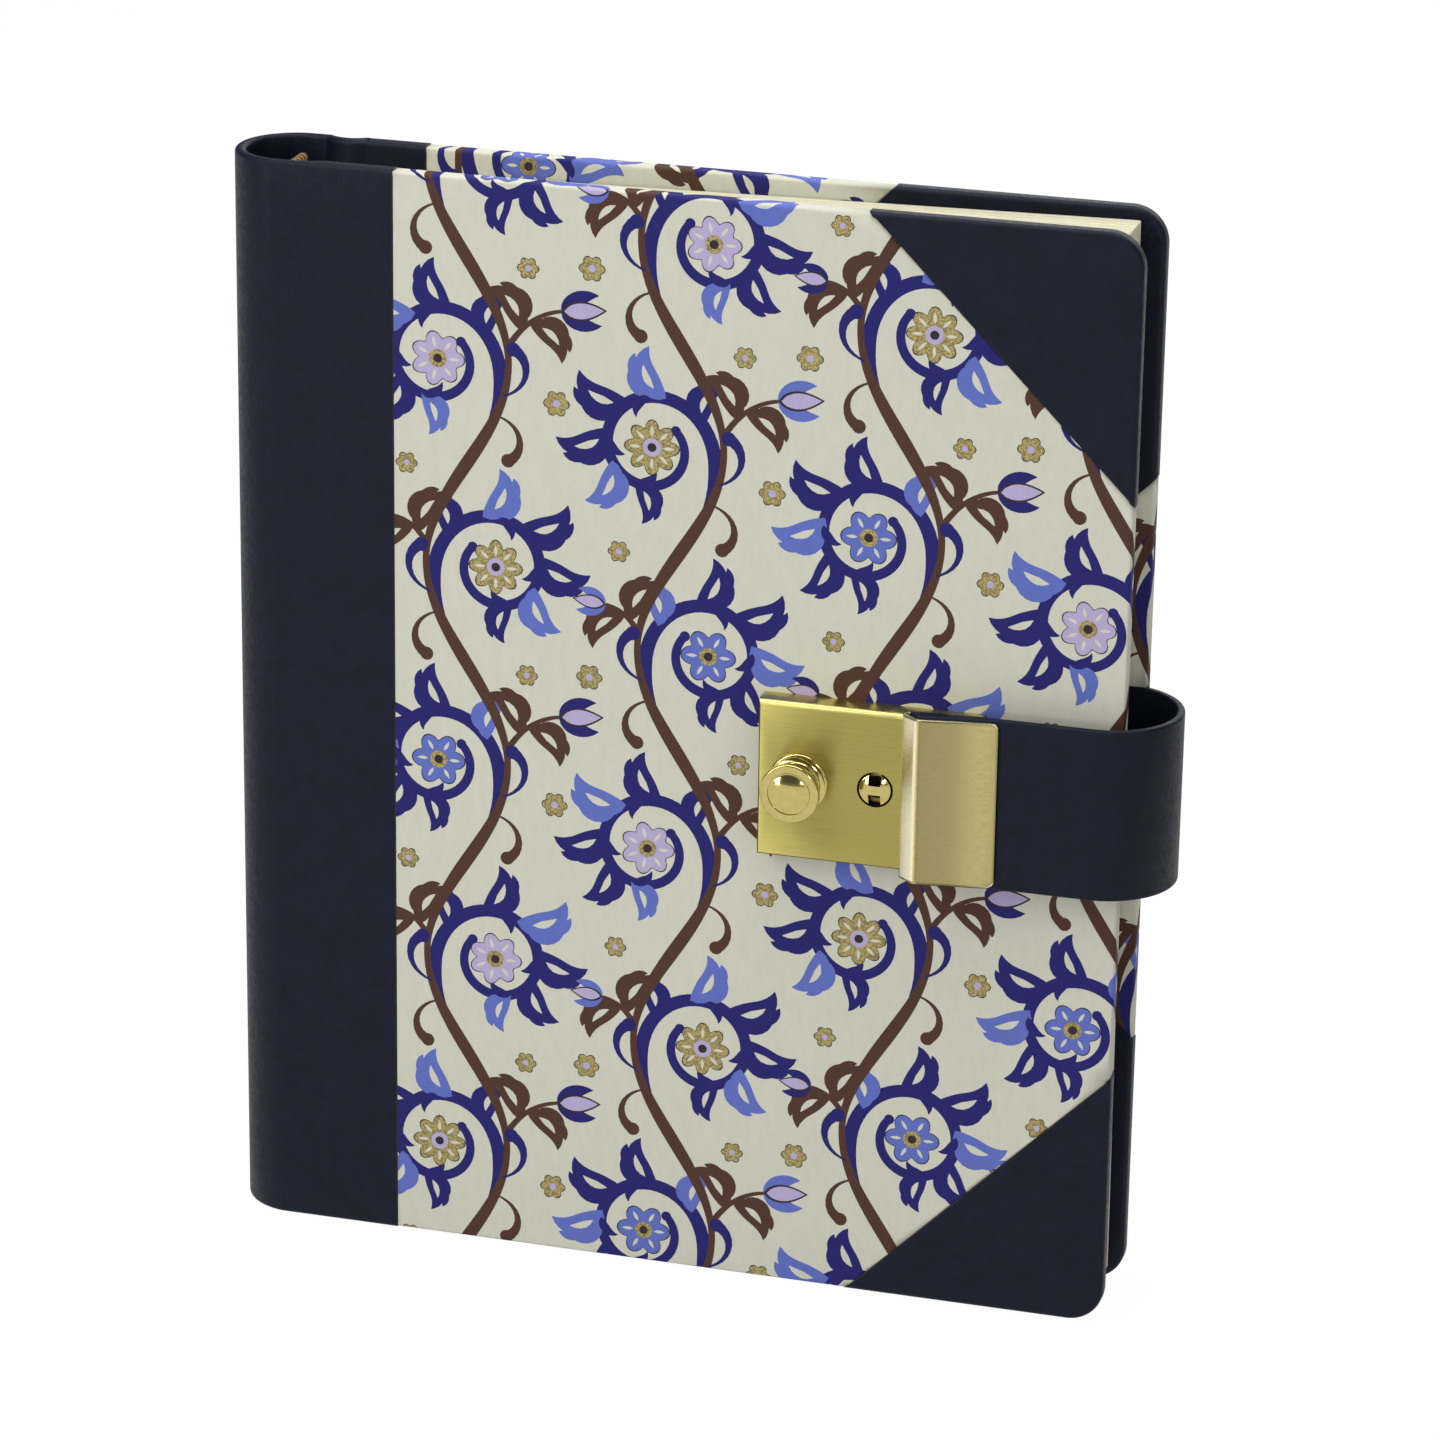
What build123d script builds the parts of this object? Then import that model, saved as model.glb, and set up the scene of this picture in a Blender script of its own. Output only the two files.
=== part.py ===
from build123d import *
from math import asin, atan2, cos, hypot, sin, tan
import os

# Book coordinates: x from the spine to the fore-edge, y from the front to the back, z up from the foot.

# Case, in millimetres
cover_height = 210.0
cover_width = 173.0
book_thickness = 22.5
board_thickness = 2.4
leather_thickness = 0.6
paper_thickness = 0.4
corner_radius = 8.5
corner_leg = 50.0
turn_in = 5.6
leather_edge_bevel = 0.6
paper_edge_bevel = 0.35

# Spine and joints
spine_strip = 34.0
spine_round = 10.0
hinge_x = 17.0
hinge_gap = 0.1
joint_width = 4.0
groove_left = 14.5
groove_depth = 1.2
card_thickness = 0.8
card_inset = 2.5
card_edge = 13.5

# Text block
section_count = 8
turning_count = 3
gutter_x = 26.0
gutter_step = 4.6
gutter_gap = 0.1
flyleaf_from_gutter = 0.6
head_square = 3.3
fore_square = 3.8
fold_x = 11.0
leaf_gap = 0.1
leaf_thickness = 0.2
flyleaf_x = 15.0
pastedown_thickness = 0.3
lining_thickness = 0.4
lining_inset = 12.0
band_radius = 1.0
band_tongue = 8.0
band_tongue_thickness = 0.3
seat_gap = 0.05

# Lock
lock_width = 41.5
lock_height = 30.3
lock_depth = 4.6
lock_wall = 0.6
lock_edge_bevel = 0.6
lock_from_fore_edge = 25.9
lock_centre_z = 103.0
base_thickness = 0.6
base_clearance = 0.05
rail_spread = 12.0
rail_thickness = 0.8
rail_length = 24.0
prong_inset = 3.6
prong_width = 2.0
prong_thickness = 0.6
prong_overhang = 0.8
prong_tail = 3.0
prong_clearance = 0.05

# Sliding bolt and its knob
knob_from_left = 7.95
knob_radius = 5.6
knob_height = 7.2
knob_neck_radius = 3.7
knob_flange = 1.1
knob_head = 1.7
knob_bevel = 0.4
knob_dome_radius = 4.2
knob_dome_rise = 0.6
knob_step = 0.3
stem_radius = 1.5
tail_radius = 1.0
slide_thickness = 0.8
slide_clearance = 0.1
slide_width = 13.0
slide_length_left = 4.0
bolt_travel = 3.0
bolt_width = 5.0
bolt_overrun = 1.1
lug_thickness = 0.8
lug_drop = 1.1
lug_from_window = 1.2
spring_lug_drop = 2.2
spring_z = -4.0
spring_width = 1.4
spring_strip = 0.5
spring_swing = 1.1
spring_bends = 7
spring_lug_x = 3.6

# Key barrel and cam
barrel_from_left = 22.3
barrel_radius = 3.25
barrel_clearance = 0.08
barrel_rise = 0.25
barrel_bevel = 0.5
barrel_flange_radius = 3.9
barrel_flange = 1.0
barrel_shank_radius = 2.2
keyhole_width = 2.3
keyhole_reach = 2.2
keyhole_bridge = 1.75
keyhole_depth = 2.0
cam_thickness = 1.0
cam_hub_radius = 3.0
cam_reach = 5.0
cam_tip_radius = 1.2
window_clearance = 0.3

# Strap and hasp
strap_height = 32.7
strap_rise = 0.45
strap_thickness = 1.5
strap_edge_bevel = 0.3
strap_overhang = 9.2
strap_tab = 30.0
strap_pocket_clearance = 0.1
strap_fold_gap = 0.1
hasp_width = 18.0
hasp_short_of_strap = 0.5
hasp_nose = 5.2
hasp_grip_gap = 0.05
hasp_sheet = 0.6
hasp_gap = 0.15
hasp_past_lock = 4.2
hasp_edge_bevel = 0.25
staple_thickness = 1.2
staple_height = 7.0
staple_from_right = 8.3
staple_depth = 3.1
staple_eye_clearance = 0.25
slot_clearance = 0.6
slot_swing = 1.0
hasp_rivet_spread = 18.0
hasp_rivet_inset = 2.0
hasp_rivet_radius = 0.9
hasp_rivet_head_radius = 1.7
hasp_rivet_head = 0.4
rivet_clearance = 0.05

# Worked-out places
cut_margin = 5.0
diagonal = 0.5 ** 0.5
board_x = hinge_x + joint_width
board_outer_y = leather_thickness
board_inner_y = board_outer_y + board_thickness
cover_inner_y = board_inner_y + leather_thickness
middle_y = book_thickness / 2
middle_z = cover_height / 2
back_board_inner_y = book_thickness - board_inner_y

block_top = cover_height - head_square
block_fore = cover_width - fore_square
front_leaf_y = cover_inner_y + leaf_gap
block_front = front_leaf_y + leaf_thickness + leaf_gap
block_back = book_thickness - block_front
section_pitch = (block_back - block_front + leaf_gap) / section_count
section_thickness = section_pitch - leaf_gap
fold_left = fold_x - section_thickness / 2

lock_base_y = leather_thickness - paper_thickness
lock_right = cover_width - lock_from_fore_edge
lock_left = lock_right - lock_width
knob_x = lock_left + knob_from_left
barrel_x = lock_left + barrel_from_left
cavity_top = lock_depth - lock_wall
slide_top = cavity_top - slide_clearance
slide_bottom = slide_top - slide_thickness
slide_left = knob_x - slide_length_left
window_half = barrel_flange_radius + window_clearance
window_right = barrel_x + window_half + bolt_travel
staple_x = lock_right - staple_from_right
bolt_tip = staple_x + staple_thickness / 2 + bolt_overrun
flange_bottom = slide_top - barrel_flange
cam_bottom = flange_bottom - cam_thickness

hasp_bottom = lock_depth + hasp_gap
strap_bottom = hasp_bottom + hasp_sheet
strap_top = strap_bottom + strap_thickness
hasp_top = strap_top + hasp_sheet
hasp_right = lock_right + hasp_past_lock
hasp_left = hasp_right - hasp_width
hasp_round = hasp_nose / 2
hasp_half = strap_height / 2 - hasp_short_of_strap
nose_x = hasp_left + hasp_round
nose_y = lock_base_y - hasp_bottom - hasp_round
nose_to_end = hasp_right - nose_x
end_past_nose = hasp_top - hasp_bottom - hasp_round
hasp_lean = asin(hasp_round / hypot(nose_to_end, end_past_nose)) - atan2(end_past_nose, nose_to_end)
strap_outer_front = lock_base_y - strap_top
strap_outer_back = back_board_inner_y + strap_thickness
bend_radius = (strap_outer_back - strap_outer_front) / 2
bend_inner = bend_radius - strap_thickness
bend_y = (strap_outer_back + strap_outer_front) / 2
bend_x = cover_width + strap_overhang - bend_radius
strap_x = cover_width + strap_overhang
strap_end = nose_x + hasp_sheet
strap_centre_z = lock_centre_z + strap_rise
strap_low = strap_centre_z - strap_height / 2
strap_high = strap_centre_z + strap_height / 2

# The origin lies under the middle of the whole object, strap and knob included.
front_most_y = lock_base_y - lock_depth - knob_height - knob_dome_rise
to_origin = Pos(-strap_x / 2, -(book_thickness + front_most_y) / 2, 0)


def slab(x0, x1, y0, y1, z0, z1):
    """A plain block between two corners."""
    return Pos((x0 + x1) / 2, (y0 + y1) / 2, (z0 + z1) / 2) * Box(x1 - x0, y1 - y0, z1 - z0)


def sheet(outline, y0, y1):
    """An outline drawn in x and z, given thickness from y0 to y1."""
    return extrude(Plane.XZ.offset(-y0) * outline, amount=y0 - y1)


def plan(outline, z0, z1):
    """An outline drawn in x and y, raised from z0 to z1."""
    return extrude(Pos(0, 0, z0) * outline, amount=z1 - z0)


def peg(x, z, radius, low, high):
    """A round peg that stands out of the front cover between two heights above its paper."""
    return Pos(x, lock_base_y - (low + high) / 2, z) * Rot(90, 0, 0) * Cylinder(radius, high - low)


def raised(x0, x1, low, high, z0, z1):
    """A block between two heights above the front cover's paper, z counted from the lock's middle."""
    return slab(x0, x1, lock_base_y - high, lock_base_y - low, lock_centre_z + z0, lock_centre_z + z1)


def to_back(shape):
    """The same piece on the back cover."""
    return mirror(shape, about=Plane.XZ.offset(-middle_y))


def to_foot(shape):
    """The same piece at the foot of the book."""
    return mirror(shape, about=Plane.XY.offset(middle_z))


def cover_outline(left, inset):
    """The cover's face, round at the two fore-edge corners."""
    width = cover_width - inset - left
    height = cover_height - 2 * inset
    face = Pos(left + width / 2, middle_z) * Rectangle(width, height)
    corners = face.vertices().group_by(Axis.X)[-1]
    return fillet(corners, corner_radius - inset)


def board_blank():
    return sheet(cover_outline(board_x, leather_thickness), board_outer_y, board_inner_y)


def skin(thickness, edge_bevel):
    """A skin glued round the board and turned in on three sides, open at the spine."""
    inset = leather_thickness - thickness
    body = sheet(cover_outline(board_x, inset), inset, board_inner_y + thickness)
    rims = body.edges().group_by(Axis.Y)
    worn = [edge for edge in rims[0] + rims[-1] if edge.center().X > board_x + edge_bevel]
    body = chamfer(worn, edge_bevel)
    body -= board_blank()
    window = slab(board_x - cut_margin, cover_width - turn_in, board_inner_y, cover_inner_y + cut_margin,
                  turn_in, cover_height - turn_in)
    return body - window


def corner_region():
    """Where the upper corner's leather lies: a triangle outside, its folded-over bands inside."""
    right = cover_width + cut_margin
    top = cover_height + cut_margin
    start_x = cover_width - corner_leg
    start_z = cover_height - corner_leg
    outside = Polygon((right, top), (start_x - cut_margin, top), (right, start_z - cut_margin), align=None)
    deep = turn_in + cut_margin
    inside = Polygon(
        (right, top),
        (start_x + cut_margin, top),
        (start_x - deep, cover_height - deep),
        (cover_width - deep, cover_height - deep),
        (cover_width - deep, start_z - deep),
        (right, start_z + cut_margin),
        align=None,
    )
    outer_part = sheet(outside, -cut_margin, board_inner_y)
    return outer_part + sheet(inside, board_inner_y, cover_inner_y + cut_margin)


def spine_region():
    """Where the spine leather lies on a cover."""
    return slab(board_x - cut_margin, spine_strip, -cut_margin, cover_inner_y + cut_margin,
                -cut_margin, cover_height + cut_margin)


def prong_places():
    """Where the lock's four prongs stand, z counted from the lock's middle."""
    for x in (lock_left + prong_inset, lock_right - prong_inset - prong_tail):
        for side in (-1, 1):
            yield x, side * (lock_height / 2 - prong_inset)


def prong_leg(x, z, room):
    """A prong's shank through the board and its bent-over tail, made larger by some room."""
    board_low = lock_base_y - board_inner_y
    half = prong_width / 2 + room
    leg = raised(x - room, x + prong_thickness + room, board_low, base_thickness, z - half, z + half)
    tail_high = board_low + prong_thickness + room
    return leg + raised(x - room, x + prong_tail + room, board_low, tail_high, z - half, z + half)


def strap_pocket():
    """The recess that takes the strap's tab in the back board's inner face, open at the fore-edge."""
    return slab(cover_width - strap_tab, cover_width + cut_margin, back_board_inner_y - cut_margin,
                strap_outer_back, strap_low - strap_pocket_clearance, strap_high + strap_pocket_clearance)


def spine_profile(inset):
    """The spine's U seen from above, pulled in by an inset."""
    front = Line((hinge_x, inset), (spine_round, inset))
    bow = ThreePointArc((spine_round, inset), (inset, middle_y), (spine_round, book_thickness - inset))
    back = Line((spine_round, book_thickness - inset), (hinge_x, book_thickness - inset))
    close = Line((hinge_x, book_thickness - inset), (hinge_x, inset))
    return make_face([front, bow, back, close])


def groove_profile():
    """The leather pressed into the back joint, seen from above."""
    deepest = (groove_left + board_x) / 2
    outer_y = book_thickness
    inner_y = book_thickness - leather_thickness
    outer = ThreePointArc((groove_left, outer_y), (deepest, outer_y - groove_depth), (board_x, outer_y))
    fore = Line((board_x, outer_y), (board_x, inner_y))
    inner = ThreePointArc((board_x, inner_y), (deepest, inner_y - groove_depth), (groove_left, inner_y))
    rear = Line((groove_left, inner_y), (groove_left, outer_y))
    return make_face([outer, fore, inner, rear])


def spine_leather(leather_skin):
    """One piece: the hollow spine, the back joint and the strip glued on the back board."""
    hollow = plan(spine_profile(0) - spine_profile(leather_thickness), 0, cover_height)
    far_x = hinge_x + cut_margin
    far_y = book_thickness + cut_margin
    hollow -= slab(hinge_x - hinge_gap / 2, far_x, -cut_margin, middle_y, 0, cover_height)
    hollow -= slab(groove_left, far_x, middle_y, far_y, 0, cover_height)
    joint = plan(groove_profile(), 0, cover_height)
    strip = to_back(leather_skin & spine_region())
    return hollow + joint + strip


def front_strip(leather_skin):
    """The spine leather's strip on the front cover, from the fold onwards."""
    flap = slab(hinge_x + hinge_gap / 2, board_x, 0, leather_thickness, 0, cover_height)
    return flap + (leather_skin & spine_region())


def spine_card():
    """The flexible card that lines the hollow spine."""
    inner = spine_profile(leather_thickness + card_thickness)
    card = plan(spine_profile(leather_thickness) - inner, card_inset, cover_height - card_inset)
    far_y = book_thickness + cut_margin
    return card - slab(card_edge, hinge_x + cut_margin, -cut_margin, far_y, 0, cover_height)


def section(index):
    """One folded and sewn section of leaves, round at its fold."""
    y0 = block_front + index * section_pitch
    y1 = y0 + section_thickness
    fold = ThreePointArc((fold_x, y1), (fold_left, (y0 + y1) / 2), (fold_x, y0))
    leaves = Polyline((fold_x, y0), (block_fore, y0), (block_fore, y1), (fold_x, y1))
    return plan(make_face([fold, leaves]), head_square, block_top)


def gutter(index):
    """Where the leaves of a turning section bend; each later section bends further out."""
    return gutter_x + index * gutter_step


def side_of_gutter(index, side):
    """The room on the fold's side of a gutter, or on the fore-edge's side."""
    start = gutter(index) + side * gutter_gap / 2
    end = start + side * cover_width
    return slab(min(start, end), max(start, end), 0, book_thickness, 0, cover_height)


def pastedown():
    """The endpaper glued inside the front cover."""
    return slab(board_x, cover_width - turn_in, board_inner_y, board_inner_y + pastedown_thickness,
                turn_in, cover_height - turn_in)


def flyleaf(x0):
    """The loose endpaper in front of the first section."""
    return slab(x0, block_fore, front_leaf_y, front_leaf_y + leaf_thickness, head_square, block_top)


def head_band():
    """A sewn bead on the head of the block, with its cloth tongue glued on the folds."""
    bead_z = block_top + seat_gap + band_radius
    length = block_back - block_front
    bead = Pos(fold_left, middle_y, bead_z) * Rot(90, 0, 0) * Cylinder(band_radius, length)
    tongue_x = fold_left - seat_gap
    tongue = slab(tongue_x - band_tongue_thickness, tongue_x, block_front, block_back,
                  block_top - band_tongue, bead_z)
    return bead + tongue


def spine_lining():
    """The strip glued over the folds between the two bands."""
    x1 = fold_left - seat_gap
    return slab(x1 - lining_thickness, x1, block_front, block_back,
                head_square + lining_inset, block_top - lining_inset)


def lock_case():
    """A shallow drawn box, open at the back, with its knob slot, barrel hole and staple slot."""
    half = lock_height / 2
    box = raised(lock_left, lock_right, 0, lock_depth, -half, half)
    front_rim = box.faces().sort_by(Axis.Y)[0].edges()
    upright = box.edges().filter_by(Axis.Y)
    box = chamfer(front_rim + upright, lock_edge_bevel)
    box -= raised(lock_left + lock_wall, lock_right - lock_wall, 0, cavity_top,
                  lock_wall - half, half - lock_wall)
    stem_room = stem_radius + slide_clearance
    for x in (knob_x - bolt_travel, knob_x):
        box -= peg(x, lock_centre_z, stem_room, 0, lock_depth)
    box -= raised(knob_x - bolt_travel, knob_x, 0, lock_depth, -stem_room, stem_room)
    box -= peg(barrel_x, lock_centre_z, barrel_radius + barrel_clearance, 0, lock_depth)
    near = staple_x - staple_thickness / 2 - slot_clearance
    far = staple_x + staple_thickness / 2 + slot_clearance + slot_swing
    slot_half = staple_height / 2 + slot_clearance
    return box - raised(near, far, 0, lock_depth, -slot_half, slot_half)


def lock_base_plate():
    """The plate held to the board by its prongs, with two folded rails under the slide."""
    edge = lock_wall + base_clearance
    half = lock_height / 2 - edge
    plate = raised(lock_left + edge, lock_right - edge, 0, base_thickness, -half, half)
    rail_top = slide_bottom - slide_clearance
    for side in (-1, 1):
        z0 = side * rail_spread / 2 - rail_thickness / 2
        plate += raised(slide_left, slide_left + rail_length, 0, rail_top, z0, z0 + rail_thickness)
    for x, z in prong_places():
        plate -= prong_leg(x, z, prong_clearance)
    return plate


def lock_prongs():
    """Four prongs from the base plate through the board, bent over under the pastedown."""
    half = prong_width / 2
    head_top = base_thickness + prong_thickness
    prongs = []
    for x, z in prong_places():
        head = raised(x - prong_overhang, x + prong_thickness + prong_overhang, base_thickness, head_top,
                      z - half, z + half)
        prongs.append(prong_leg(x, z, 0) + head)
    return Compound(children=prongs)


def slide_bolt():
    """The plate that the knob pushes, with its window round the barrel, its bolt and two bent lugs."""
    half = slide_width / 2
    lug_left = window_right + lug_from_window
    body_right = lug_left + lug_thickness
    plate = raised(slide_left, body_right, slide_bottom, slide_top, -half, half)
    plate += raised(body_right, bolt_tip, slide_bottom, slide_top, -bolt_width / 2, bolt_width / 2)
    plate -= raised(barrel_x - window_half, window_right, slide_bottom, slide_top, -window_half, window_half)
    plate -= peg(knob_x, lock_centre_z, tail_radius + rivet_clearance, slide_bottom, slide_top)
    plate += raised(lug_left, body_right, slide_bottom - lug_drop, slide_top, -bolt_width / 2, bolt_width / 2)
    spring_lug = knob_x + spring_lug_x
    plate += raised(spring_lug, spring_lug + lug_thickness, slide_bottom - spring_lug_drop, slide_top,
                    spring_z - spring_swing, spring_z + spring_swing)
    return plate


def bolt_spring():
    """A strip spring folded to and fro between the case's wall and the slide's lug."""
    start = lock_left + lock_wall + seat_gap
    end = knob_x + spring_lug_x - seat_gap
    lower_side = []
    upper_side = []
    for bend in range(spring_bends + 1):
        x = start + (end - start) * bend / spring_bends
        z = lock_centre_z + spring_z + (spring_swing if bend % 2 else -spring_swing)
        lower_side.append((x, z - spring_strip / 2))
        upper_side.append((x, z + spring_strip / 2))
    top = lock_base_y - slide_bottom + slide_clearance
    return sheet(Polygon(*lower_side, *reversed(upper_side), align=None), top, top + spring_width)


def knob():
    """A turned spool: flange, neck, rimmed head with a dome, and the stem riveted to the slide."""
    foot = lock_depth + seat_gap
    crown = lock_depth + knob_height
    flange_top = foot + knob_flange
    head_bottom = crown - knob_head
    rim = knob_radius - knob_bevel
    dome_edge = knob_dome_radius - knob_step
    dome_low = crown - knob_step
    dome_top = crown + knob_dome_rise
    outline = Polyline(
        (0, slide_bottom),
        (tail_radius, slide_bottom),
        (tail_radius, slide_top),
        (stem_radius, slide_top),
        (stem_radius, foot),
        (rim, foot),
        (knob_radius, foot + knob_bevel),
        (knob_radius, flange_top - knob_bevel),
        (knob_neck_radius, flange_top),
        (knob_neck_radius, head_bottom),
        (knob_radius, head_bottom + knob_bevel),
        (knob_radius, crown - knob_bevel),
        (rim, crown),
        (knob_dome_radius, crown),
        (dome_edge, dome_low),
    )
    dome_sphere = (dome_edge ** 2 + (dome_top - dome_low) ** 2) / (2 * (dome_top - dome_low))
    half_edge = dome_edge / 2
    half_drop = dome_sphere - (dome_sphere ** 2 - half_edge ** 2) ** 0.5
    dome = ThreePointArc((dome_edge, dome_low), (half_edge, dome_top - half_drop), (0, dome_top))
    axis = Line((0, dome_top), (0, slide_bottom))
    turned = revolve(make_face([outline, dome, axis]), Axis.Y)
    return Pos(knob_x, lock_base_y, lock_centre_z) * Rot(180, 0, 0) * turned


def key_barrel():
    """The plug that the key turns: a domed face with two key notches, a flange and a shank."""
    crown = lock_depth + barrel_rise
    head = peg(barrel_x, lock_centre_z, barrel_radius, flange_bottom, crown)
    head = chamfer(head.faces().sort_by(Axis.Y)[0].edges(), barrel_bevel)
    plug = head + peg(barrel_x, lock_centre_z, barrel_flange_radius, flange_bottom, slide_top)
    plug += peg(barrel_x, lock_centre_z, barrel_shank_radius, base_thickness + slide_clearance, flange_bottom)
    half = keyhole_width / 2
    for side in (-1, 1):
        z0 = side * keyhole_bridge / 2
        z1 = z0 + side * keyhole_reach
        plug -= raised(barrel_x - half, barrel_x + half, crown - keyhole_depth, crown + cut_margin,
                       min(z0, z1), max(z0, z1))
    return plug


def barrel_cam():
    """The lever staked on the barrel's shank."""
    tip_z = lock_centre_z + cam_reach - cam_tip_radius
    cam = peg(barrel_x, lock_centre_z, cam_hub_radius, cam_bottom, flange_bottom)
    cam += peg(barrel_x, tip_z, cam_tip_radius, cam_bottom, flange_bottom)
    cam += raised(barrel_x - cam_tip_radius, barrel_x + cam_tip_radius, cam_bottom, flange_bottom,
                  0, cam_reach - cam_tip_radius)
    return cam - peg(barrel_x, lock_centre_z, barrel_shank_radius, cam_bottom, flange_bottom)


def strap_section(outline):
    """A strap outline drawn from above, as wide as the strap, with its long edges pared."""
    strap = plan(make_face(outline), strap_low, strap_high)
    ends = strap.faces().sort_by(Axis.Z)
    return chamfer(ends[0].edges() + ends[-1].edges(), strap_edge_bevel)


def bend_middle(radius, side):
    """The middle of the bend's quarter circle, on its back side or its front side."""
    return bend_x + diagonal * radius, bend_y + side * diagonal * radius


def strap_root():
    """The strap's tab in the back board and the back half of its bend."""
    tab_x = cover_width - strap_tab + strap_pocket_clearance
    outer_back = strap_outer_back
    inner_back = strap_outer_back - strap_thickness
    return strap_section([
        Line((tab_x, inner_back), (tab_x, outer_back)),
        Line((tab_x, outer_back), (bend_x, outer_back)),
        ThreePointArc((bend_x, outer_back), bend_middle(bend_radius, 1), (bend_x + bend_radius, bend_y)),
        Line((bend_x + bend_radius, bend_y), (bend_x + bend_inner, bend_y)),
        ThreePointArc((bend_x + bend_inner, bend_y), bend_middle(bend_inner, 1), (bend_x, inner_back)),
        Line((bend_x, inner_back), (tab_x, inner_back)),
    ])


def hasp_front_y(x, inset):
    """How far out the hasp's leaning front plate lies at a place along it, pulled in by an inset."""
    return nose_y - (hasp_round - inset) / cos(hasp_lean) + (x - nose_x) * tan(hasp_lean)


def strap_flap():
    """The front half of the bend and the flap, whose thickened end fills the hasp."""
    outer_front = strap_outer_front
    inner_front = strap_outer_front + strap_thickness
    grip = hasp_sheet + hasp_grip_gap
    end_front = hasp_front_y(strap_end, grip)
    grip_front = hasp_front_y(hasp_right, grip)
    flap = strap_section([
        Line((strap_end, inner_front), (strap_end, end_front)),
        Line((strap_end, end_front), (hasp_right, grip_front)),
        Line((hasp_right, grip_front), (bend_x, outer_front)),
        ThreePointArc((bend_x, outer_front), bend_middle(bend_radius, -1), (bend_x + bend_radius, bend_y)),
        Line((bend_x + bend_radius, bend_y), (bend_x + bend_inner, bend_y)),
        ThreePointArc((bend_x + bend_inner, bend_y), bend_middle(bend_inner, -1), (bend_x, inner_front)),
        Line((bend_x, inner_front), (strap_end, inner_front)),
    ])
    flap -= slab(bend_x, strap_x + cut_margin, bend_y - strap_fold_gap, bend_y + cut_margin, 0, cover_height)
    for z in (-1, 1):
        flap -= peg(hasp_right - hasp_rivet_inset, lock_centre_z + z * hasp_rivet_spread / 2,
                    hasp_rivet_radius + rivet_clearance, strap_bottom, strap_top)
    return flap


def hasp_outline(inset):
    """The folded cap seen from above: a round nose, a flat back plate and a leaning front plate."""
    radius = hasp_round - inset
    low_y = nose_y + radius
    bend = (nose_x + radius * sin(hasp_lean), nose_y - radius * cos(hasp_lean))
    nose = ThreePointArc((nose_x, low_y), (nose_x - radius, nose_y), bend)
    end_y = hasp_front_y(hasp_right, inset)
    plates = Polyline(bend, (hasp_right, end_y), (hasp_right, low_y), (nose_x, low_y))
    return make_face([nose, plates])


def hasp_cap():
    """Sheet folded round the strap's end."""
    low = strap_centre_z - hasp_half
    high = strap_centre_z + hasp_half
    cap = plan(hasp_outline(0), low, high)
    front = cap.faces().sort_by(Axis.Y)[0]
    cap = chamfer(front.edges().sort_by(Axis.X)[1:], hasp_edge_bevel)
    cap -= plan(hasp_outline(hasp_sheet), low, high)
    for z in (-1, 1):
        cap -= peg(hasp_right - hasp_rivet_inset, lock_centre_z + z * hasp_rivet_spread / 2,
                   hasp_rivet_radius + rivet_clearance, hasp_bottom, strap_bottom)
    return cap


def hasp_staple():
    """The eye under the hasp that the bolt enters."""
    half = staple_height / 2
    staple = raised(staple_x - staple_thickness / 2, staple_x + staple_thickness / 2,
                    hasp_bottom - staple_depth, hasp_bottom, -half, half)
    eye_half = bolt_width / 2 + staple_eye_clearance
    return staple - raised(staple_x - staple_thickness, staple_x + staple_thickness,
                           slide_bottom - staple_eye_clearance, slide_top + staple_eye_clearance,
                           -eye_half, eye_half)


def hasp_rivets():
    """Two rivets that hold the cap's back plate to the strap."""
    rivets = []
    for z in (-1, 1):
        x = hasp_right - hasp_rivet_inset
        height = lock_centre_z + z * hasp_rivet_spread / 2
        rivet = peg(x, height, hasp_rivet_radius, hasp_bottom, strap_top)
        rivet += peg(x, height, hasp_rivet_head_radius, hasp_bottom - hasp_rivet_head, hasp_bottom)
        rivets.append(rivet)
    return Compound(children=rivets)


def front_cover_pieces(leather_skin, paper_skin, corner):
    """Everything that swings with the front cover, apart from the lock's moving pieces."""
    board = board_blank()
    paper = paper_skin - corner - to_foot(corner) - spine_region()
    for x, z in prong_places():
        hole = prong_leg(x, z, prong_clearance)
        board -= hole
        paper -= hole
    upper = leather_skin & corner
    return {
        "front_board": board,
        "front_cover_paper": paper,
        "front_corner_upper": upper,
        "front_corner_lower": to_foot(upper),
        "front_spine_leather": front_strip(leather_skin),
        "front_pastedown": pastedown(),
        "lock_case": lock_case(),
        "lock_base_plate": lock_base_plate(),
        "lock_prongs": lock_prongs(),
        "bolt_spring": bolt_spring(),
        "slide_bolt": slide_bolt(),
        "slide_knob": knob(),
        "key_barrel": key_barrel(),
        "barrel_cam": barrel_cam(),
    }


def back_cover_pieces(leather_skin, paper_skin, corner):
    """The back cover with the spine, and the strap's fixed end in its pocket."""
    paper = to_back(paper_skin - corner - to_foot(corner) - spine_region())
    upper = to_back(leather_skin & corner)
    return {
        "back_board": to_back(board_blank()) - strap_pocket(),
        "back_cover_paper": paper - strap_pocket(),
        "back_corner_upper": upper,
        "back_corner_lower": to_foot(upper),
        "back_pastedown": to_back(pastedown()),
        "spine_leather": spine_leather(leather_skin),
        "spine_card": spine_card(),
        "strap_root": strap_root(),
    }


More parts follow.
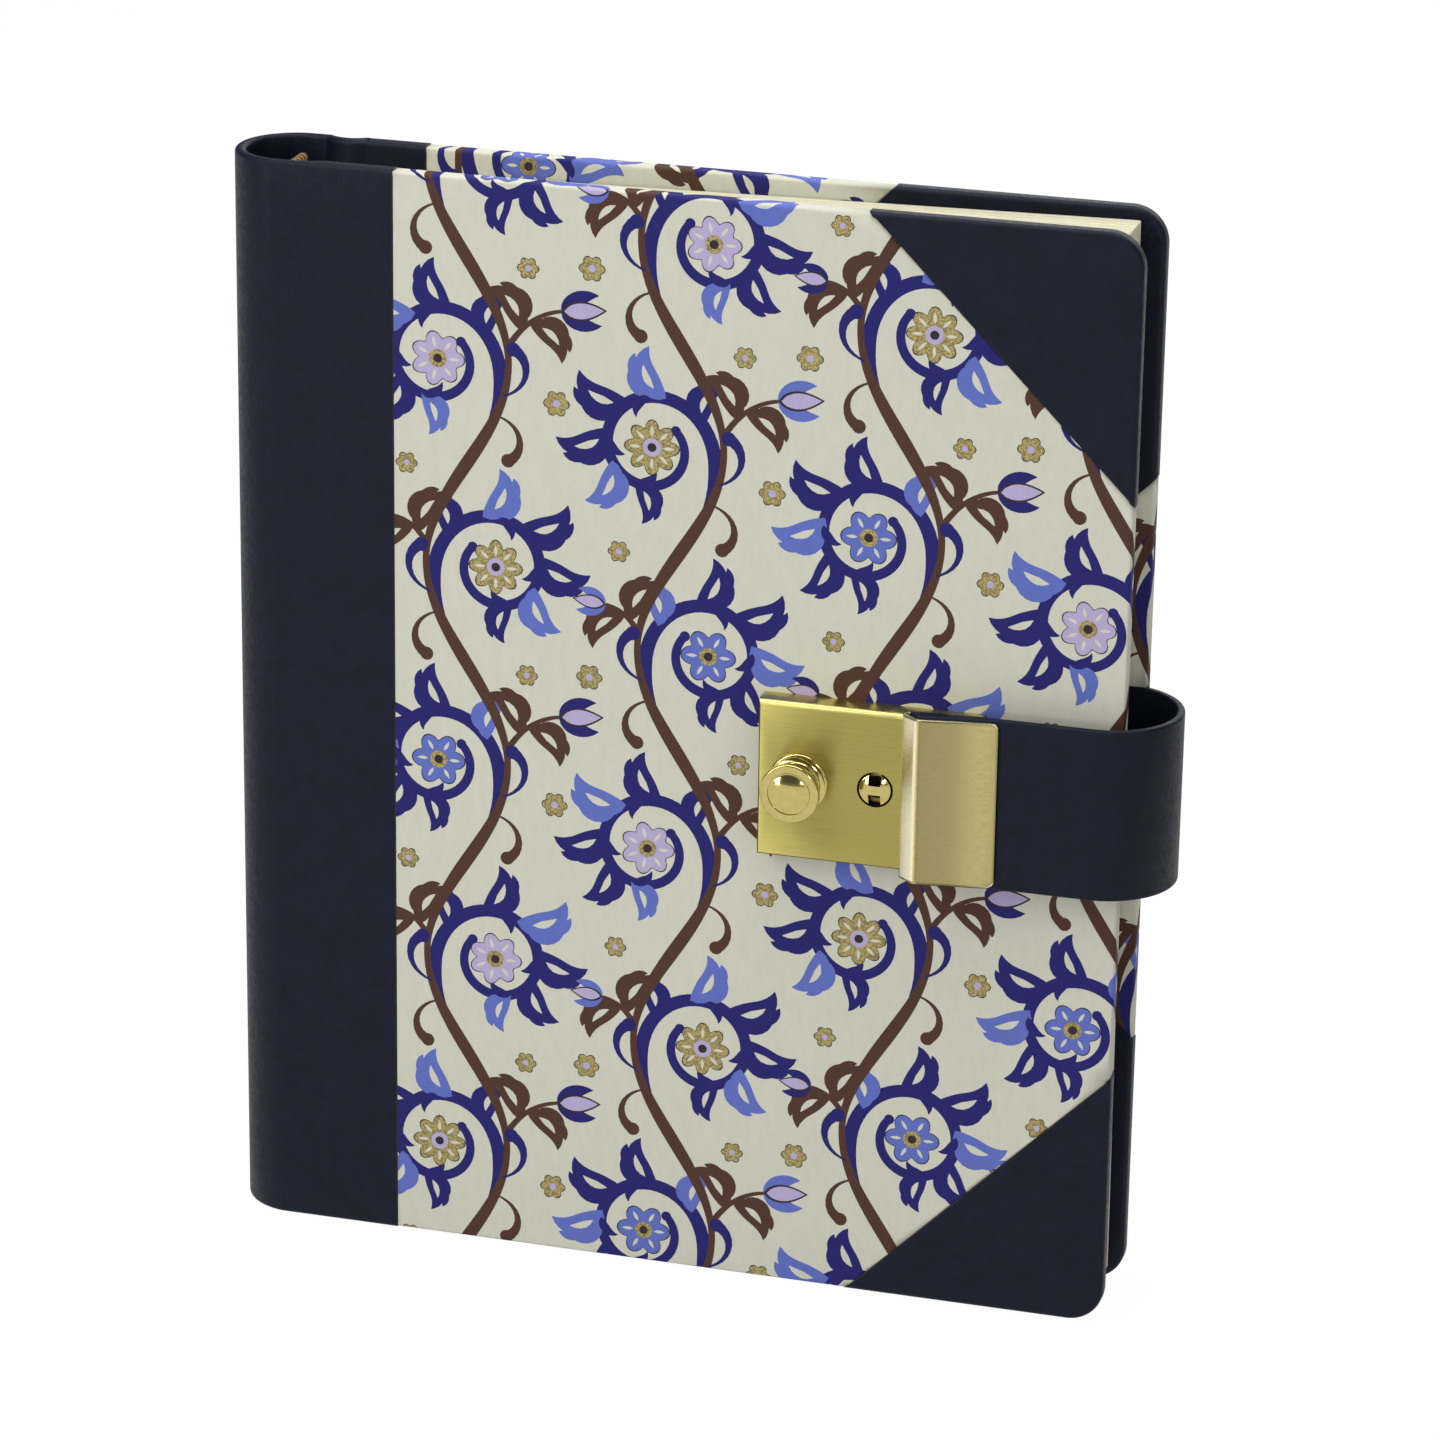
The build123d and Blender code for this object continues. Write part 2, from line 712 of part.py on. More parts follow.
def block_pieces():
    """The text block: sections, endpapers, spine lining and the two bands."""
    band = head_band()
    pieces = {
        "front_flyleaf": flyleaf(gutter_x + flyleaf_from_gutter),
        "back_flyleaf": to_back(flyleaf(flyleaf_x)),
        "spine_lining": spine_lining(),
        "head_band": band,
        "tail_band": to_foot(band),
    }
    for index in range(section_count):
        whole = section(index)
        if index < turning_count:
            pieces[f"leaf_stack_{index + 1}"] = whole & side_of_gutter(index, 1)
            whole = whole & side_of_gutter(index, -1)
        pieces[f"section_{index + 1}"] = whole
    return pieces


def strap_pieces():
    """The flap with its hasp."""
    return {
        "strap_flap": strap_flap(),
        "hasp_cap": hasp_cap(),
        "hasp_staple": hasp_staple(),
        "hasp_rivets": hasp_rivets(),
    }


def diary():
    leather_skin = skin(leather_thickness, leather_edge_bevel)
    paper_skin = skin(paper_thickness, paper_edge_bevel)
    corner = corner_region()
    pieces = front_cover_pieces(leather_skin, paper_skin, corner)
    pieces.update(back_cover_pieces(leather_skin, paper_skin, corner))
    pieces.update(block_pieces())
    pieces.update(strap_pieces())
    return pieces


os.makedirs("parts", exist_ok=True)
for name, shape in diary().items():
    export_step(to_origin * shape, f"parts/{name}.step")
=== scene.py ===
from math import asin, atan2, cos, exp, hypot, pi, radians, sin, sqrt, tan
import bmesh
import bpy
from mathutils import Matrix, Vector
from mathutils.geometry import delaunay_2d_cdt

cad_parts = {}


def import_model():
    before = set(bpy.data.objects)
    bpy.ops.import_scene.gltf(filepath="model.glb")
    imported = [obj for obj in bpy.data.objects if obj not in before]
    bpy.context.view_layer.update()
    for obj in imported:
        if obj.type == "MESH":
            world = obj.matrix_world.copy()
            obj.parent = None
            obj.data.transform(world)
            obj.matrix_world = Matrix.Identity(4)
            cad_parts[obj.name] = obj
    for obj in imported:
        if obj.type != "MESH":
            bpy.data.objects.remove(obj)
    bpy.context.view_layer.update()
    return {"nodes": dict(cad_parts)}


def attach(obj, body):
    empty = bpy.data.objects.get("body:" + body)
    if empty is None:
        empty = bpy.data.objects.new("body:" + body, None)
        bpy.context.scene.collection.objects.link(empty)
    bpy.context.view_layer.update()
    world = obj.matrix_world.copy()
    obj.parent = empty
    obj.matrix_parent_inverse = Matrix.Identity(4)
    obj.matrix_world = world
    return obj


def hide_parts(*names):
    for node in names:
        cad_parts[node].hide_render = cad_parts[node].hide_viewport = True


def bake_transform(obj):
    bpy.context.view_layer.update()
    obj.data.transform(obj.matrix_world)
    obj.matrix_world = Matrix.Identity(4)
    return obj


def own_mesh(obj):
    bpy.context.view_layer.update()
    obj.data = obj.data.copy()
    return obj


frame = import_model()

# Book coordinates in millimetres: x from the spine, y from the front face, z up.
origin_x = 91.1
origin_y = 5.15
cover_height = 210.0
cover_width = 173.0
book_thickness = 22.5
leather = 0.6
board_depth = 3.6
corner_radius = 6.8
corner_leg = 50.0
turn_in = 5.6
spine_strip = 34.0
board_x = 21.0
lock_base_y = 0.2
lock_z = 103.0
lock_left = 105.6
lock_right = 147.1
lock_bottom = 87.85
lock_top = 118.15
lock_depth = 4.6
knob_x = 113.55
barrel_x = 127.9
bolt_travel = 3.0
strap_z = 103.45
strap_half = 16.35
strap_front_y = -5.9
strap_root_y = 20.25
strap_root_x = 143.2
strap_flat_x = 166.0
bend_x = 168.375
bend_y = 7.175
bend_middle = 13.075
hasp_right = 151.3
hasp_half = 15.85
hasp_low = 4.75
hasp_high = 7.45
hasp_round = 2.6
hasp_sheet = 0.6
nose_x = 135.9
nose_height = hasp_low + hasp_round
nose_to_end = hasp_right - nose_x
end_past_nose = hasp_high - nose_height
hasp_lean = (asin(hasp_round / hypot(nose_to_end, end_past_nose))
             - atan2(end_past_nose, nose_to_end))
plate_middle_x = 143.0
fold_left = 133.4
fold_radius = 1.0
fold_x_centre = fold_left + fold_radius
band_angle = radians(128)
back_bend_x = 147.0
back_lift = 0.985
back_lean = atan2(back_lift, back_bend_x - nose_x)
middle_y = book_thickness / 2
groove_left = 14.5
spine_depth = 2.1
spine_flap = 8.0
quarter = pi / 2


def place(x, y, z):
    return ((x - origin_x) / 1000, (y - origin_y) / 1000, z / 1000)


def to_back(point):
    return (point[0], book_thickness - point[1], point[2])


def to_foot(point):
    return (point[0], point[1], cover_height - point[2])


def tidy(mesh, sharp):
    work = bmesh.new()
    work.from_mesh(mesh)
    bmesh.ops.remove_doubles(work, verts=work.verts, dist=2e-6)
    bmesh.ops.dissolve_degenerate(work, edges=work.edges, dist=1e-6)
    bmesh.ops.recalc_face_normals(work, faces=work.faces)
    work.to_mesh(mesh)
    work.free()
    mesh.shade_smooth()
    mesh.set_sharp_from_angle(angle=radians(sharp))


def in_scene(name, data):
    piece = bpy.data.objects.new(name, data)
    bpy.context.scene.collection.objects.link(piece)
    return piece


def dress(mesh, materials):
    mesh.materials.clear()
    for material in materials:
        mesh.materials.append(material)


def add_piece(name, points, faces, materials, slots=None, sharp=35):
    mesh = bpy.data.meshes.new(name)
    mesh.from_pydata([place(*point) for point in points], [], faces)
    dress(mesh, materials)
    if slots:
        mesh.polygons.foreach_set("material_index", slots)
    tidy(mesh, sharp)
    return in_scene(name, mesh)


def loft(rings):
    size = len(rings[0])
    points = [point for ring in rings for point in ring]
    faces = []
    for i in range(len(rings) - 1):
        for j in range(size):
            k = (j + 1) % size
            faces.append((i * size + j, i * size + k, (i + 1) * size + k, (i + 1) * size + j))
    last = len(points) - size
    return points, faces + [tuple(range(size)), tuple(range(last, last + size))]


def flipped(points, flips):
    for flip in flips:
        points = [flip(point) for point in points]
    return points


def lofted(name, rings, materials, slots=None, sharp=35, flips=()):
    points, faces = loft(rings)
    return add_piece(name, flipped(points, flips), faces, materials, slots, sharp)


def join(points, faces, rings):
    """Adds a loft to a mesh that is being put together."""
    more_points, more_faces = loft(rings)
    shift = len(points)
    points += more_points
    faces += [tuple(i + shift for i in face) for face in more_faces]


def rectangle(x0, x1, z0, z1):
    return [(x0, z0), (x1, z0), (x1, z1), (x0, z1)]


def spread(start, end, count):
    return [start + (end - start) * i / count for i in range(count + 1)]


def arc(cx, cy, radius, start, end, count):
    return [(cx + radius * cos(a), cy + radius * sin(a)) for a in spread(start, end, count)]


def circle(cx, cy, radius, count):
    return arc(cx, cy, radius, 0, 2 * pi, count)[:-1]


def arc_radius(half, rise):
    """Radius of an arc that rises by so much over half its chord."""
    return (half ** 2 + rise ** 2) / (2 * rise)


def linear(r, g, b):
    def channel(value):
        value /= 255
        return value / 12.92 if value <= 0.04045 else ((value + 0.055) / 1.055) ** 2.4
    return (channel(r), channel(g), channel(b), 1.0)


# Materials

def new_material(name, colour, roughness, metallic=0.0, shine=0.5):
    material = bpy.data.materials.new(name)
    material.use_nodes = True
    inputs = shader_of(material).inputs
    inputs["Base Color"].default_value = colour
    inputs["Roughness"].default_value = roughness
    inputs["Metallic"].default_value = metallic
    inputs["Specular IOR Level"].default_value = shine
    return material


def shader_of(material):
    return material.node_tree.nodes["Principled BSDF"]


def feed(material, source, socket):
    material.node_tree.links.new(source, socket)


def texture(material, kind, scale, stretch=(1, 1, 1)):
    nodes = material.node_tree.nodes
    where = nodes.new("ShaderNodeTexCoord")
    mapping = nodes.new("ShaderNodeMapping")
    mapping.inputs["Scale"].default_value = stretch
    node = nodes.new(kind)
    node.inputs["Scale"].default_value = scale
    feed(material, where.outputs["Object"], mapping.inputs["Vector"])
    feed(material, mapping.outputs["Vector"], node.inputs["Vector"])
    return node


def noise(material, scale, detail, stretch=(1, 1, 1)):
    node = texture(material, "ShaderNodeTexNoise", scale, stretch)
    node.inputs["Detail"].default_value = detail
    return node.outputs["Fac"]


def cells(material, scale):
    return texture(material, "ShaderNodeTexVoronoi", scale).outputs["Distance"]


def ramp(material, source, stops):
    node = material.node_tree.nodes.new("ShaderNodeValToRGB")
    elements = node.color_ramp.elements
    while len(elements) < len(stops):
        elements.new(0.5)
    for element, (position, colour) in zip(elements, stops):
        element.position = position
        element.color = colour
    feed(material, source, node.inputs["Fac"])
    return node.outputs["Color"]


def tint(material, source, colour, change, low_at=0.3, high_at=0.7):
    """Base colour that changes along a texture: darker to paler, or back with a negative change."""
    low = tuple(c * (1 - change) for c in colour[:3]) + (1.0,)
    high = tuple(min(1.0, c * (1 + change)) for c in colour[:3]) + (1.0,)
    stops = [(low_at, low), (high_at, high)]
    feed(material, ramp(material, source, stops), shader_of(material).inputs["Base Color"])


def roughen(material, source, to_low, to_high, low=0.3, high=0.7):
    node = material.node_tree.nodes.new("ShaderNodeMapRange")
    for name, value in (("From Min", low), ("From Max", high), ("To Min", to_low), ("To Max", to_high)):
        node.inputs[name].default_value = value
    feed(material, source, node.inputs["Value"])
    feed(material, node.outputs["Result"], shader_of(material).inputs["Roughness"])


def bump(material, heights, strength, distance):
    previous = None
    for height, share in heights:
        node = material.node_tree.nodes.new("ShaderNodeBump")
        node.inputs["Strength"].default_value = strength * share
        node.inputs["Distance"].default_value = distance
        feed(material, height, node.inputs["Height"])
        if previous:
            feed(material, previous, node.inputs["Normal"])
        previous = node.outputs["Normal"]
    feed(material, previous, shader_of(material).inputs["Normal"])


def leather_material(name, colour):
    material = new_material(name, colour, 0.5, shine=0.17)
    tint(material, noise(material, 260, 4), colour, 0.25)
    roughen(material, noise(material, 900, 2), 0.42, 0.56)
    grain = cells(material, 1500)
    pores = noise(material, 2600, 3)
    waves = noise(material, 45, 2)
    bump(material, [(waves, 0.25), (grain, 0.3), (pores, 0.25)], 0.35, 0.0003)
    return material


def paper_material(name, colour, roughness=0.75, shine=0.25):
    material = new_material(name, colour, roughness, shine=shine)
    fibres = noise(material, 900, 4, (1, 1, 0.35))
    tint(material, fibres, colour, 0.025)
    roughen(material, noise(material, 1600, 2), roughness - 0.08, roughness + 0.08)
    bump(material, [(fibres, 1.0)], 0.12, 0.0001)
    return material


def ink_material(name, colour):
    return paper_material(name, colour, 0.6, 0.08)


def gold_ink(name, colour):
    material = new_material(name, colour, 0.4, 0.6)
    flecks = cells(material, 2400)
    tint(material, flecks, colour, -0.35, 0.15, 0.75)
    roughen(material, flecks, 0.3, 0.6, 0.1, 0.8)
    bump(material, [(flecks, 1.0)], 0.5, 0.0002)
    return material


def brass(name, colour, roughness, streak, stretch=(1, 1, 1), scale=900, brushing=0.0):
    """Polished or brushed brass; brushing spreads the shine across the brush lines."""
    material = new_material(name, colour, roughness, 1.0)
    lines = noise(material, scale, 4, stretch)
    tint(material, lines, colour, 0.5 * streak)
    roughen(material, lines, roughness * (1 - streak), roughness * (1 + streak))
    if brushing:
        shader = shader_of(material)
        tangent = material.node_tree.nodes.new("ShaderNodeTangent")
        tangent.direction_type = "RADIAL"
        tangent.axis = "Z"
        feed(material, tangent.outputs["Tangent"], shader.inputs["Tangent"])
        shader.inputs["Anisotropic"].default_value = brushing
        shader.inputs["Anisotropic Rotation"].default_value = 0.25
    bump(material, [(lines, 1.0)], 0.4 * streak, 0.00005)
    return material


along_x = (0.012, 1, 1)
brush_lines = (along_x, 4600, 0.95)

navy_leather = leather_material("navy_leather", linear(9, 16, 32))
raw_leather = leather_material("raw_leather_edge", linear(58, 46, 46))
print_materials = [
    paper_material("printed_paper_ground", linear(203, 202, 185)),
    ink_material("indigo_ink", linear(41, 39, 104)),
    ink_material("periwinkle_ink", linear(96, 110, 184)),
    ink_material("brown_ink", linear(80, 56, 46)),
    gold_ink("gold_ink", linear(160, 145, 92)),
    ink_material("lilac_ink", linear(178, 166, 200)),
    ink_material("outline_ink", linear(56, 46, 52)),
]
GROUND, INDIGO, PERIWINKLE, BROWN, GOLD, LILAC, DARK = range(len(print_materials))
page_paper = paper_material("page_paper", linear(224, 219, 194), 0.85)
endpaper = paper_material("endpaper", linear(222, 217, 192), 0.8)
silk_gold = paper_material("band_silk_gold", linear(150, 116, 58), 0.5)
silk_brown = paper_material("band_silk_brown", linear(66, 52, 40), 0.5)
card_material = paper_material("grey_card", linear(150, 140, 122), 0.9)
lining_material = paper_material("lining_cloth", linear(206, 196, 168), 0.9)
brushed_brass = brass("brushed_brass", linear(182, 171, 97), 0.4, 0.24, *brush_lines)
# Darker brass for the hasp's folded band: painted shade, keeping the band darker than the lamps make it.
painted_shade_fold_brass = brass("painted_shade_fold", linear(104, 93, 58), 0.42, 0.22, *brush_lines)
satin_brass = brass("satin_brass", linear(170, 158, 108), 0.42, 0.22, *brush_lines)
smooth_brass = brass("smooth_brass", linear(204, 190, 116), 0.34, 0.12)
polished_brass = brass("polished_brass", linear(192, 177, 112), 0.1, 0.12)
# Pale brass that paints the highlight line along the hasp's bend and the bright lines along its top, bottom
# and right edges: a painted highlight.
painted_highlight_brass = brass("painted_highlight_edge", linear(246, 238, 206), 0.3, 0.1, along_x, 2600, 0.8)
dark_brass = brass("inner_brass", linear(150, 132, 80), 0.4, 0.2)
# Darker brass for the lock case's faces turned left or down: painted shade.
painted_shade_brass = brass("painted_shade_brass", linear(98, 86, 52), 0.4, 0.2)
# Near-black brass for the key notches, the barrel below its rim and the keyhole's wall: painted shade in
# these recesses.
painted_recess_shade_brass = brass("key_notch_shade", linear(34, 32, 34), 0.5, 0.2)
steel = brass("spring_steel", linear(165, 166, 170), 0.3, 0.2)


# Leather

def hasp_front(x, inset):
    """Height of the hasp's leaning front plate above the cover's paper, pulled in by an inset."""
    return nose_height + (hasp_round - inset) / cos(hasp_lean) - (x - nose_x) * tan(hasp_lean)


def lip(near, far, low, high, roll, flap, count, levels):
    """One face of turned-in leather, from the tail's flap round the outside to the head's flap."""
    path = [(far, flap)]
    path += arc(far - roll, low + roll, roll, 0, -quarter, count)
    path += arc(near + roll, low + roll, roll, -quarter, -2 * quarter, count)
    path += [(near, z) for z in levels]
    path += arc(near + roll, high - roll, roll, 2 * quarter, quarter, count)
    path += arc(far - roll, high - roll, roll, quarter, 0, count)
    return path + [(far, cover_height - flap)]


def leather_ring(x, y, nx, ny, shrink=0.0):
    """A closed section of leather along the cover, thin at the spine and board-deep past the joint."""
    share = min(1.0, max(0.0, (x - groove_left) / (board_x - groove_left)))
    depth = spine_depth + (board_depth - spine_depth) * share * share * (3 - 2 * share)
    flap = spine_flap + (turn_in - spine_flap) * share
    low, high = shrink, cover_height - shrink
    near, far = shrink, depth - shrink
    roll = min(0.8, 0.49 * (far - near))
    outer = lip(near, far, low, high, roll, flap, 4, spread(low + 8, high - 8, 6))
    thick = min(leather, 0.45 * (far - near))
    skin = min(0.2, 0.3 * (far - near - 2 * thick))
    inner = lip(near + thick, far - thick, low + thick, high - thick, skin, flap, 2, [])
    return [(x - nx * d, y - ny * d, z) for d, z in outer + inner[::-1]]


def pared_end(rings, y, ny):
    paring = 0.3
    rings.append(leather_ring(spine_strip - paring, y, 0, ny))
    rings.append(leather_ring(spine_strip, y, 0, ny, paring))


def end_slots(rings):
    """Raw leather on the pared end and on the end faces, dyed leather elsewhere."""
    size = len(rings[0])
    return [0] * (size * (len(rings) - 2)) + [1] * (size + 2)


def front_joint_leather():
    xs = spread(12, 16.5, 6) + spread(16.9, 21.5, 14) + spread(22, 33, 6)
    rings = [leather_ring(x, 0, 0, -1) for x in xs]
    pared_end(rings, 0, -1)
    piece = lofted("front_joint_leather", rings, [navy_leather, raw_leather], end_slots(rings))
    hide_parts("front_spine_leather")
    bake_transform(piece)
    return piece


def spine_path():
    """Points and outward normals round the spine, from the front lip to the back board."""
    spine_round = 10.0
    bow = arc_radius(middle_y, spine_round)
    stations = [(x, 0.0, 0.0, -1.0) for x in (12.0, 11.5, 11.0)]
    start = atan2(-middle_y, spine_round - bow)
    end = -start - 2 * pi
    for a in spread(start, end, 40):
        stations.append((bow + bow * cos(a), middle_y + bow * sin(a), cos(a), sin(a)))
    stations += [(x, book_thickness, 0.0, 1.0) for x in spread(11, 14, 3)]
    half = (board_x - groove_left) / 2
    dip = 1.2
    radius = arc_radius(half, dip)
    open_angle = asin(half / radius)
    for a in spread(-open_angle, open_angle, 12):
        x = groove_left + half + radius * sin(a)
        y = book_thickness - dip + radius - radius * cos(a)
        stations.append((x, y, -sin(a) * 0.8, cos(a)))
    return stations + [(x, book_thickness, 0.0, 1.0) for x in (22.0, 26.0, 30.0, 33.0)]


def spine_leather():
    rings = []
    for x, y, nx, ny in spine_path():
        length = hypot(nx, ny)
        rings.append(leather_ring(x, y, nx / length, ny / length))
    pared_end(rings, book_thickness, 1)
    piece = lofted("spine_leather_wrap", rings, [navy_leather, raw_leather], end_slots(rings))
    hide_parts("spine_leather")
    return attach(piece, "book")


def outline_point(length, inset):
    """A point on the cover's edge near the upper corner, pulled in by an inset."""
    straight = corner_leg - corner_radius
    bend = corner_radius * quarter
    if length <= straight:
        return cover_width - corner_leg + length, cover_height - inset
    if length >= straight + bend:
        return cover_width - inset, cover_height - corner_radius - (length - straight - bend)
    a = quarter - (length - straight) / corner_radius
    return arc(cover_width - corner_radius, cover_height - corner_radius, corner_radius - inset, a, a, 1)[0]


def corner_ring(share):
    """One closed section of corner leather, from the slanting edge over the board's rim to the inside."""
    total = 2 * (corner_leg - corner_radius) + corner_radius * quarter
    roll = 0.9
    diagonal = 0.7
    gather_height = 0.22
    gathers = 4.5

    def rim(inset, depth, inside=False):
        shift = -inset if inside else inset
        length = shift + (total - 2 * shift) * share
        x, z = outline_point(length, inset)
        return x, depth, z

    def slant(inset, depth):
        x = cover_width - corner_leg + inset + (corner_leg - 2 * inset) * share
        z = cover_height - inset - (corner_leg - 2 * inset) * share
        return x + diagonal * (inset - roll), depth, z + diagonal * (inset - roll)

    def between(a, b, t):
        return tuple(a[i] + (b[i] - a[i]) * t for i in range(3))

    ring = [slant(roll, 0.45), slant(roll + 0.3, 0.0)]
    edge = rim(roll, 0.0)
    ring += [between(ring[-1], edge, t) for t in (0.25, 0.5, 0.75)]
    for a in spread(0, quarter, 5):
        ring.append(rim(roll * (1 - sin(a)), roll * (1 - cos(a))))
    for a in spread(0, quarter, 5):
        ring.append(rim(roll * (1 - cos(a)), board_depth - roll * (1 - sin(a)), True))
    bend_start = (corner_leg - corner_radius) / total
    bend_share = (share - bend_start) / (1 - 2 * bend_start)
    for inset in spread(roll + 0.7, turn_in, 5):
        lift = 0.0
        if 0 < bend_share < 1:
            window = sin(pi * bend_share) ** 0.5
            fold = cos(2 * pi * gathers * (bend_share - 0.5))
            lift = gather_height * window * (inset / turn_in) * fold
        ring.append(rim(inset, board_depth + lift, True))
    ring.append(rim(turn_in, board_depth - leather, True))
    ring.append(rim(leather + 0.1, board_depth - leather, True))
    ring.append(rim(leather + 0.1, leather))
    return ring


def corner_leather(name, node, body, flips):
    shares = spread(0, 0.43, 10) + spread(0.435, 0.565, 26) + spread(0.57, 1, 10)
    rings = [corner_ring(share) for share in shares]
    slots = ([1] + [0] * (len(rings[0]) - 1)) * (len(rings) - 1) + [0, 0]
    piece = lofted(name, rings, [navy_leather, raw_leather], slots, flips=flips)
    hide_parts(node)
    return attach(piece, body)


def hasp_back(x, inset):
    """Height of the hasp's back plate, which leaves the lock towards the fold."""
    return hasp_low + inset + max(0, back_bend_x - x) * tan(back_lean)


fold_height = hasp_back(fold_x_centre, 0) + fold_radius / cos(back_lean)


def hasp_room(x):
    """Lower and upper height of the strap's end inside the hasp."""
    gap = hasp_sheet + 0.05
    past = x - fold_x_centre
    band = fold_height + (fold_radius - gap - past * cos(band_angle)) / sin(band_angle)
    return hasp_back(x, gap), min(hasp_front(x, gap), band)


def strap_ring(x, y, nx, ny, half):
    """A closed section of strap with soft edges, of half a thickness to each side of its middle."""
    edge = 0.5
    section = []
    for turn, (side, side_z) in enumerate(((1, 1), (-1, 1), (-1, -1), (1, -1))):
        middle, end = side * (half - edge), side_z * (strap_half - edge)
        section += arc(middle, end, edge, turn * quarter, (turn + 1) * quarter, 4)
    return [(x + nx * o, y + ny * o, strap_z + z) for o, z in section]


def strap():
    thick = 0.75
    rings = [strap_ring(x, strap_root_y, 0, 1, thick) for x in spread(strap_root_x, strap_flat_x, 6)]
    for a in spread(quarter, -quarter, 44):
        x = bend_x + bend_middle * cos(a)
        y = bend_y + bend_middle * sin(a)
        rings.append(strap_ring(x, y, cos(a), sin(a), thick))
    for x in spread(strap_flat_x, hasp_right + 0.6, 6):
        rings.append(strap_ring(x, strap_front_y, 0, -1, thick))
    for x in spread(hasp_right, nose_x + hasp_sheet, 8) + [136.2, 135.8, 135.4, 135.1, 134.8]:
        low, high = hasp_room(x)
        half = (high - low) / 2
        rings.append(strap_ring(x, lock_base_y - low - half, 0, -1, half))
    piece = lofted("strap_leather", rings, [navy_leather])
    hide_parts("strap_root", "strap_flap")
    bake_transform(piece)
    return piece


# Printed paper: a flat sheet of ornament is cut out, then wrapped round the board.

paper_roll = 0.5
paper_depth = 3.2
paper_edge = cover_width - 0.2
paper_top = cover_height - 0.2
flap_back = paper_edge - (cover_width - turn_in) - paper_roll
quarter_roll = paper_roll * quarter
flat_rim = paper_depth - 2 * paper_roll
flap_length = 2 * quarter_roll + flat_rim + flap_back


def wrapped(p, edge):
    """Where a distance along the sheet ends up: position towards the edge, and depth below the outer face."""
    start = edge - paper_roll
    rest = p - start
    if rest <= 0:
        return p, 0.0
    if rest <= quarter_roll:
        a = rest / paper_roll
        return start + paper_roll * sin(a), paper_roll * (1 - cos(a))
    rest -= quarter_roll
    if rest <= flat_rim:
        return edge, paper_roll + rest
    rest -= flat_rim
    if rest <= quarter_roll:
        a = rest / paper_roll
        return start + paper_roll * cos(a), paper_depth - paper_roll * (1 - sin(a))
    rest -= quarter_roll
    return start - rest, paper_depth


def wrap_point(u, v):
    if u > paper_edge - paper_roll:
        x, depth = wrapped(u, paper_edge)
        return x, lock_base_y + depth, v
    if v > paper_top - paper_roll:
        z, depth = wrapped(v, paper_top)
        return u, lock_base_y + depth, z
    if v < cover_height - paper_top + paper_roll:
        z, depth = wrapped(cover_height - v, paper_top)
        return u, lock_base_y + depth, cover_height - z
    return u, lock_base_y, v


def upper_cut():
    """The sheet's edge along the upper corner, from the fore-edge flap's end to the head flap's end."""
    under = 0.15
    slant = 0.7
    rim = 0.3
    band = paper_edge - paper_roll
    turned = band + 2 * quarter_roll + flat_rim
    low = cover_height - corner_leg + under
    across = cover_width - corner_leg + under
    inner_band = turned + paper_top - paper_edge
    head = paper_top - paper_roll
    return [
        (band + flap_length, low - turn_in),
        (turned, low - slant),
        (paper_edge + rim, low),
        (band, low + slant),
        (across + slant, head),
        (across, paper_top + rim),
        (across - slant, inner_band),
        (across - turn_in, head + flap_length),
    ]


def sheet_outline(notch):
    upper = upper_cut()
    lower = [(u, cover_height - v) for u, v in reversed(upper)]
    under_leather = 0.4
    start = spine_strip - under_leather
    outline = [(start, lower[0][1])] + lower
    if notch:
        gap = 0.1
        inner = paper_edge - paper_roll + quarter_roll + 0.8
        low = strap_z - strap_half - gap
        high = strap_z + strap_half + gap
        outer = upper[0][0]
        outline += [(outer, low), (inner, low), (inner, high), (outer, high)]
    return outline + upper + [(start, upper[-1][1])]


def bend_lines():
    """Lines across the sheet at which the cut-out is split, so that it can bend round the board."""
    fore_span = (40, 170)
    end_span = (30, 130)
    steps = [quarter_roll * i / 4 for i in range(5)]
    steps += [quarter_roll + flat_rim + step for step in steps]
    lines = []
    for step in steps:
        u = paper_edge - paper_roll + step
        lines.append([(u, v) for v in fore_span])
        v = paper_top - paper_roll + step
        lines.append([(u, v) for u in end_span])
        lines.append([(u, cover_height - v) for u in end_span])
    return lines


def stroke(path, widths):
    """A band of changing width along a path, as one closed outline."""
    left = []
    right = []
    for i, (x, y) in enumerate(path):
        ax, ay = path[max(0, i - 1)]
        bx, by = path[min(len(path) - 1, i + 1)]
        length = hypot(bx - ax, by - ay)
        nx = -(by - ay) / length
        ny = (bx - ax) / length
        half = widths[i] / 2
        left.append((x + nx * half, y + ny * half))
        right.append((x - nx * half, y - ny * half))
    return left + right[::-1]


def blob(x, y, radius, edge, lobes, bulge, count, ink):
    """A lobed disc on a dark one that shows round it as an edge."""
    shapes = []
    for size, colour in ((radius + edge, DARK), (radius, ink)):
        points = []
        for a in spread(0, 2 * pi, count)[:-1]:
            r = size * (1 - bulge + bulge * abs(cos(lobes * a / 2)))
            points.append((x + r * cos(a), y + r * sin(a)))
        shapes.append((points, colour))
    return shapes


def curl(x, y, heading, length, turning, count=10):
    """A path that starts at a point with a heading and turns more and more."""
    path = [(x, y)]
    for i in range(count):
        here = heading + turning * ((i + 0.5) / count) ** 1.3
        x += length / count * cos(here)
        y += length / count * sin(here)
        path.append((x, y))
    return path


def leaf(path, width, ink):
    last = len(path) - 1
    widths = [max(0.12, width * sin(pi * (i / last) ** 0.8) ** 0.85) for i in range(last + 1)]
    return stroke(path, widths), ink


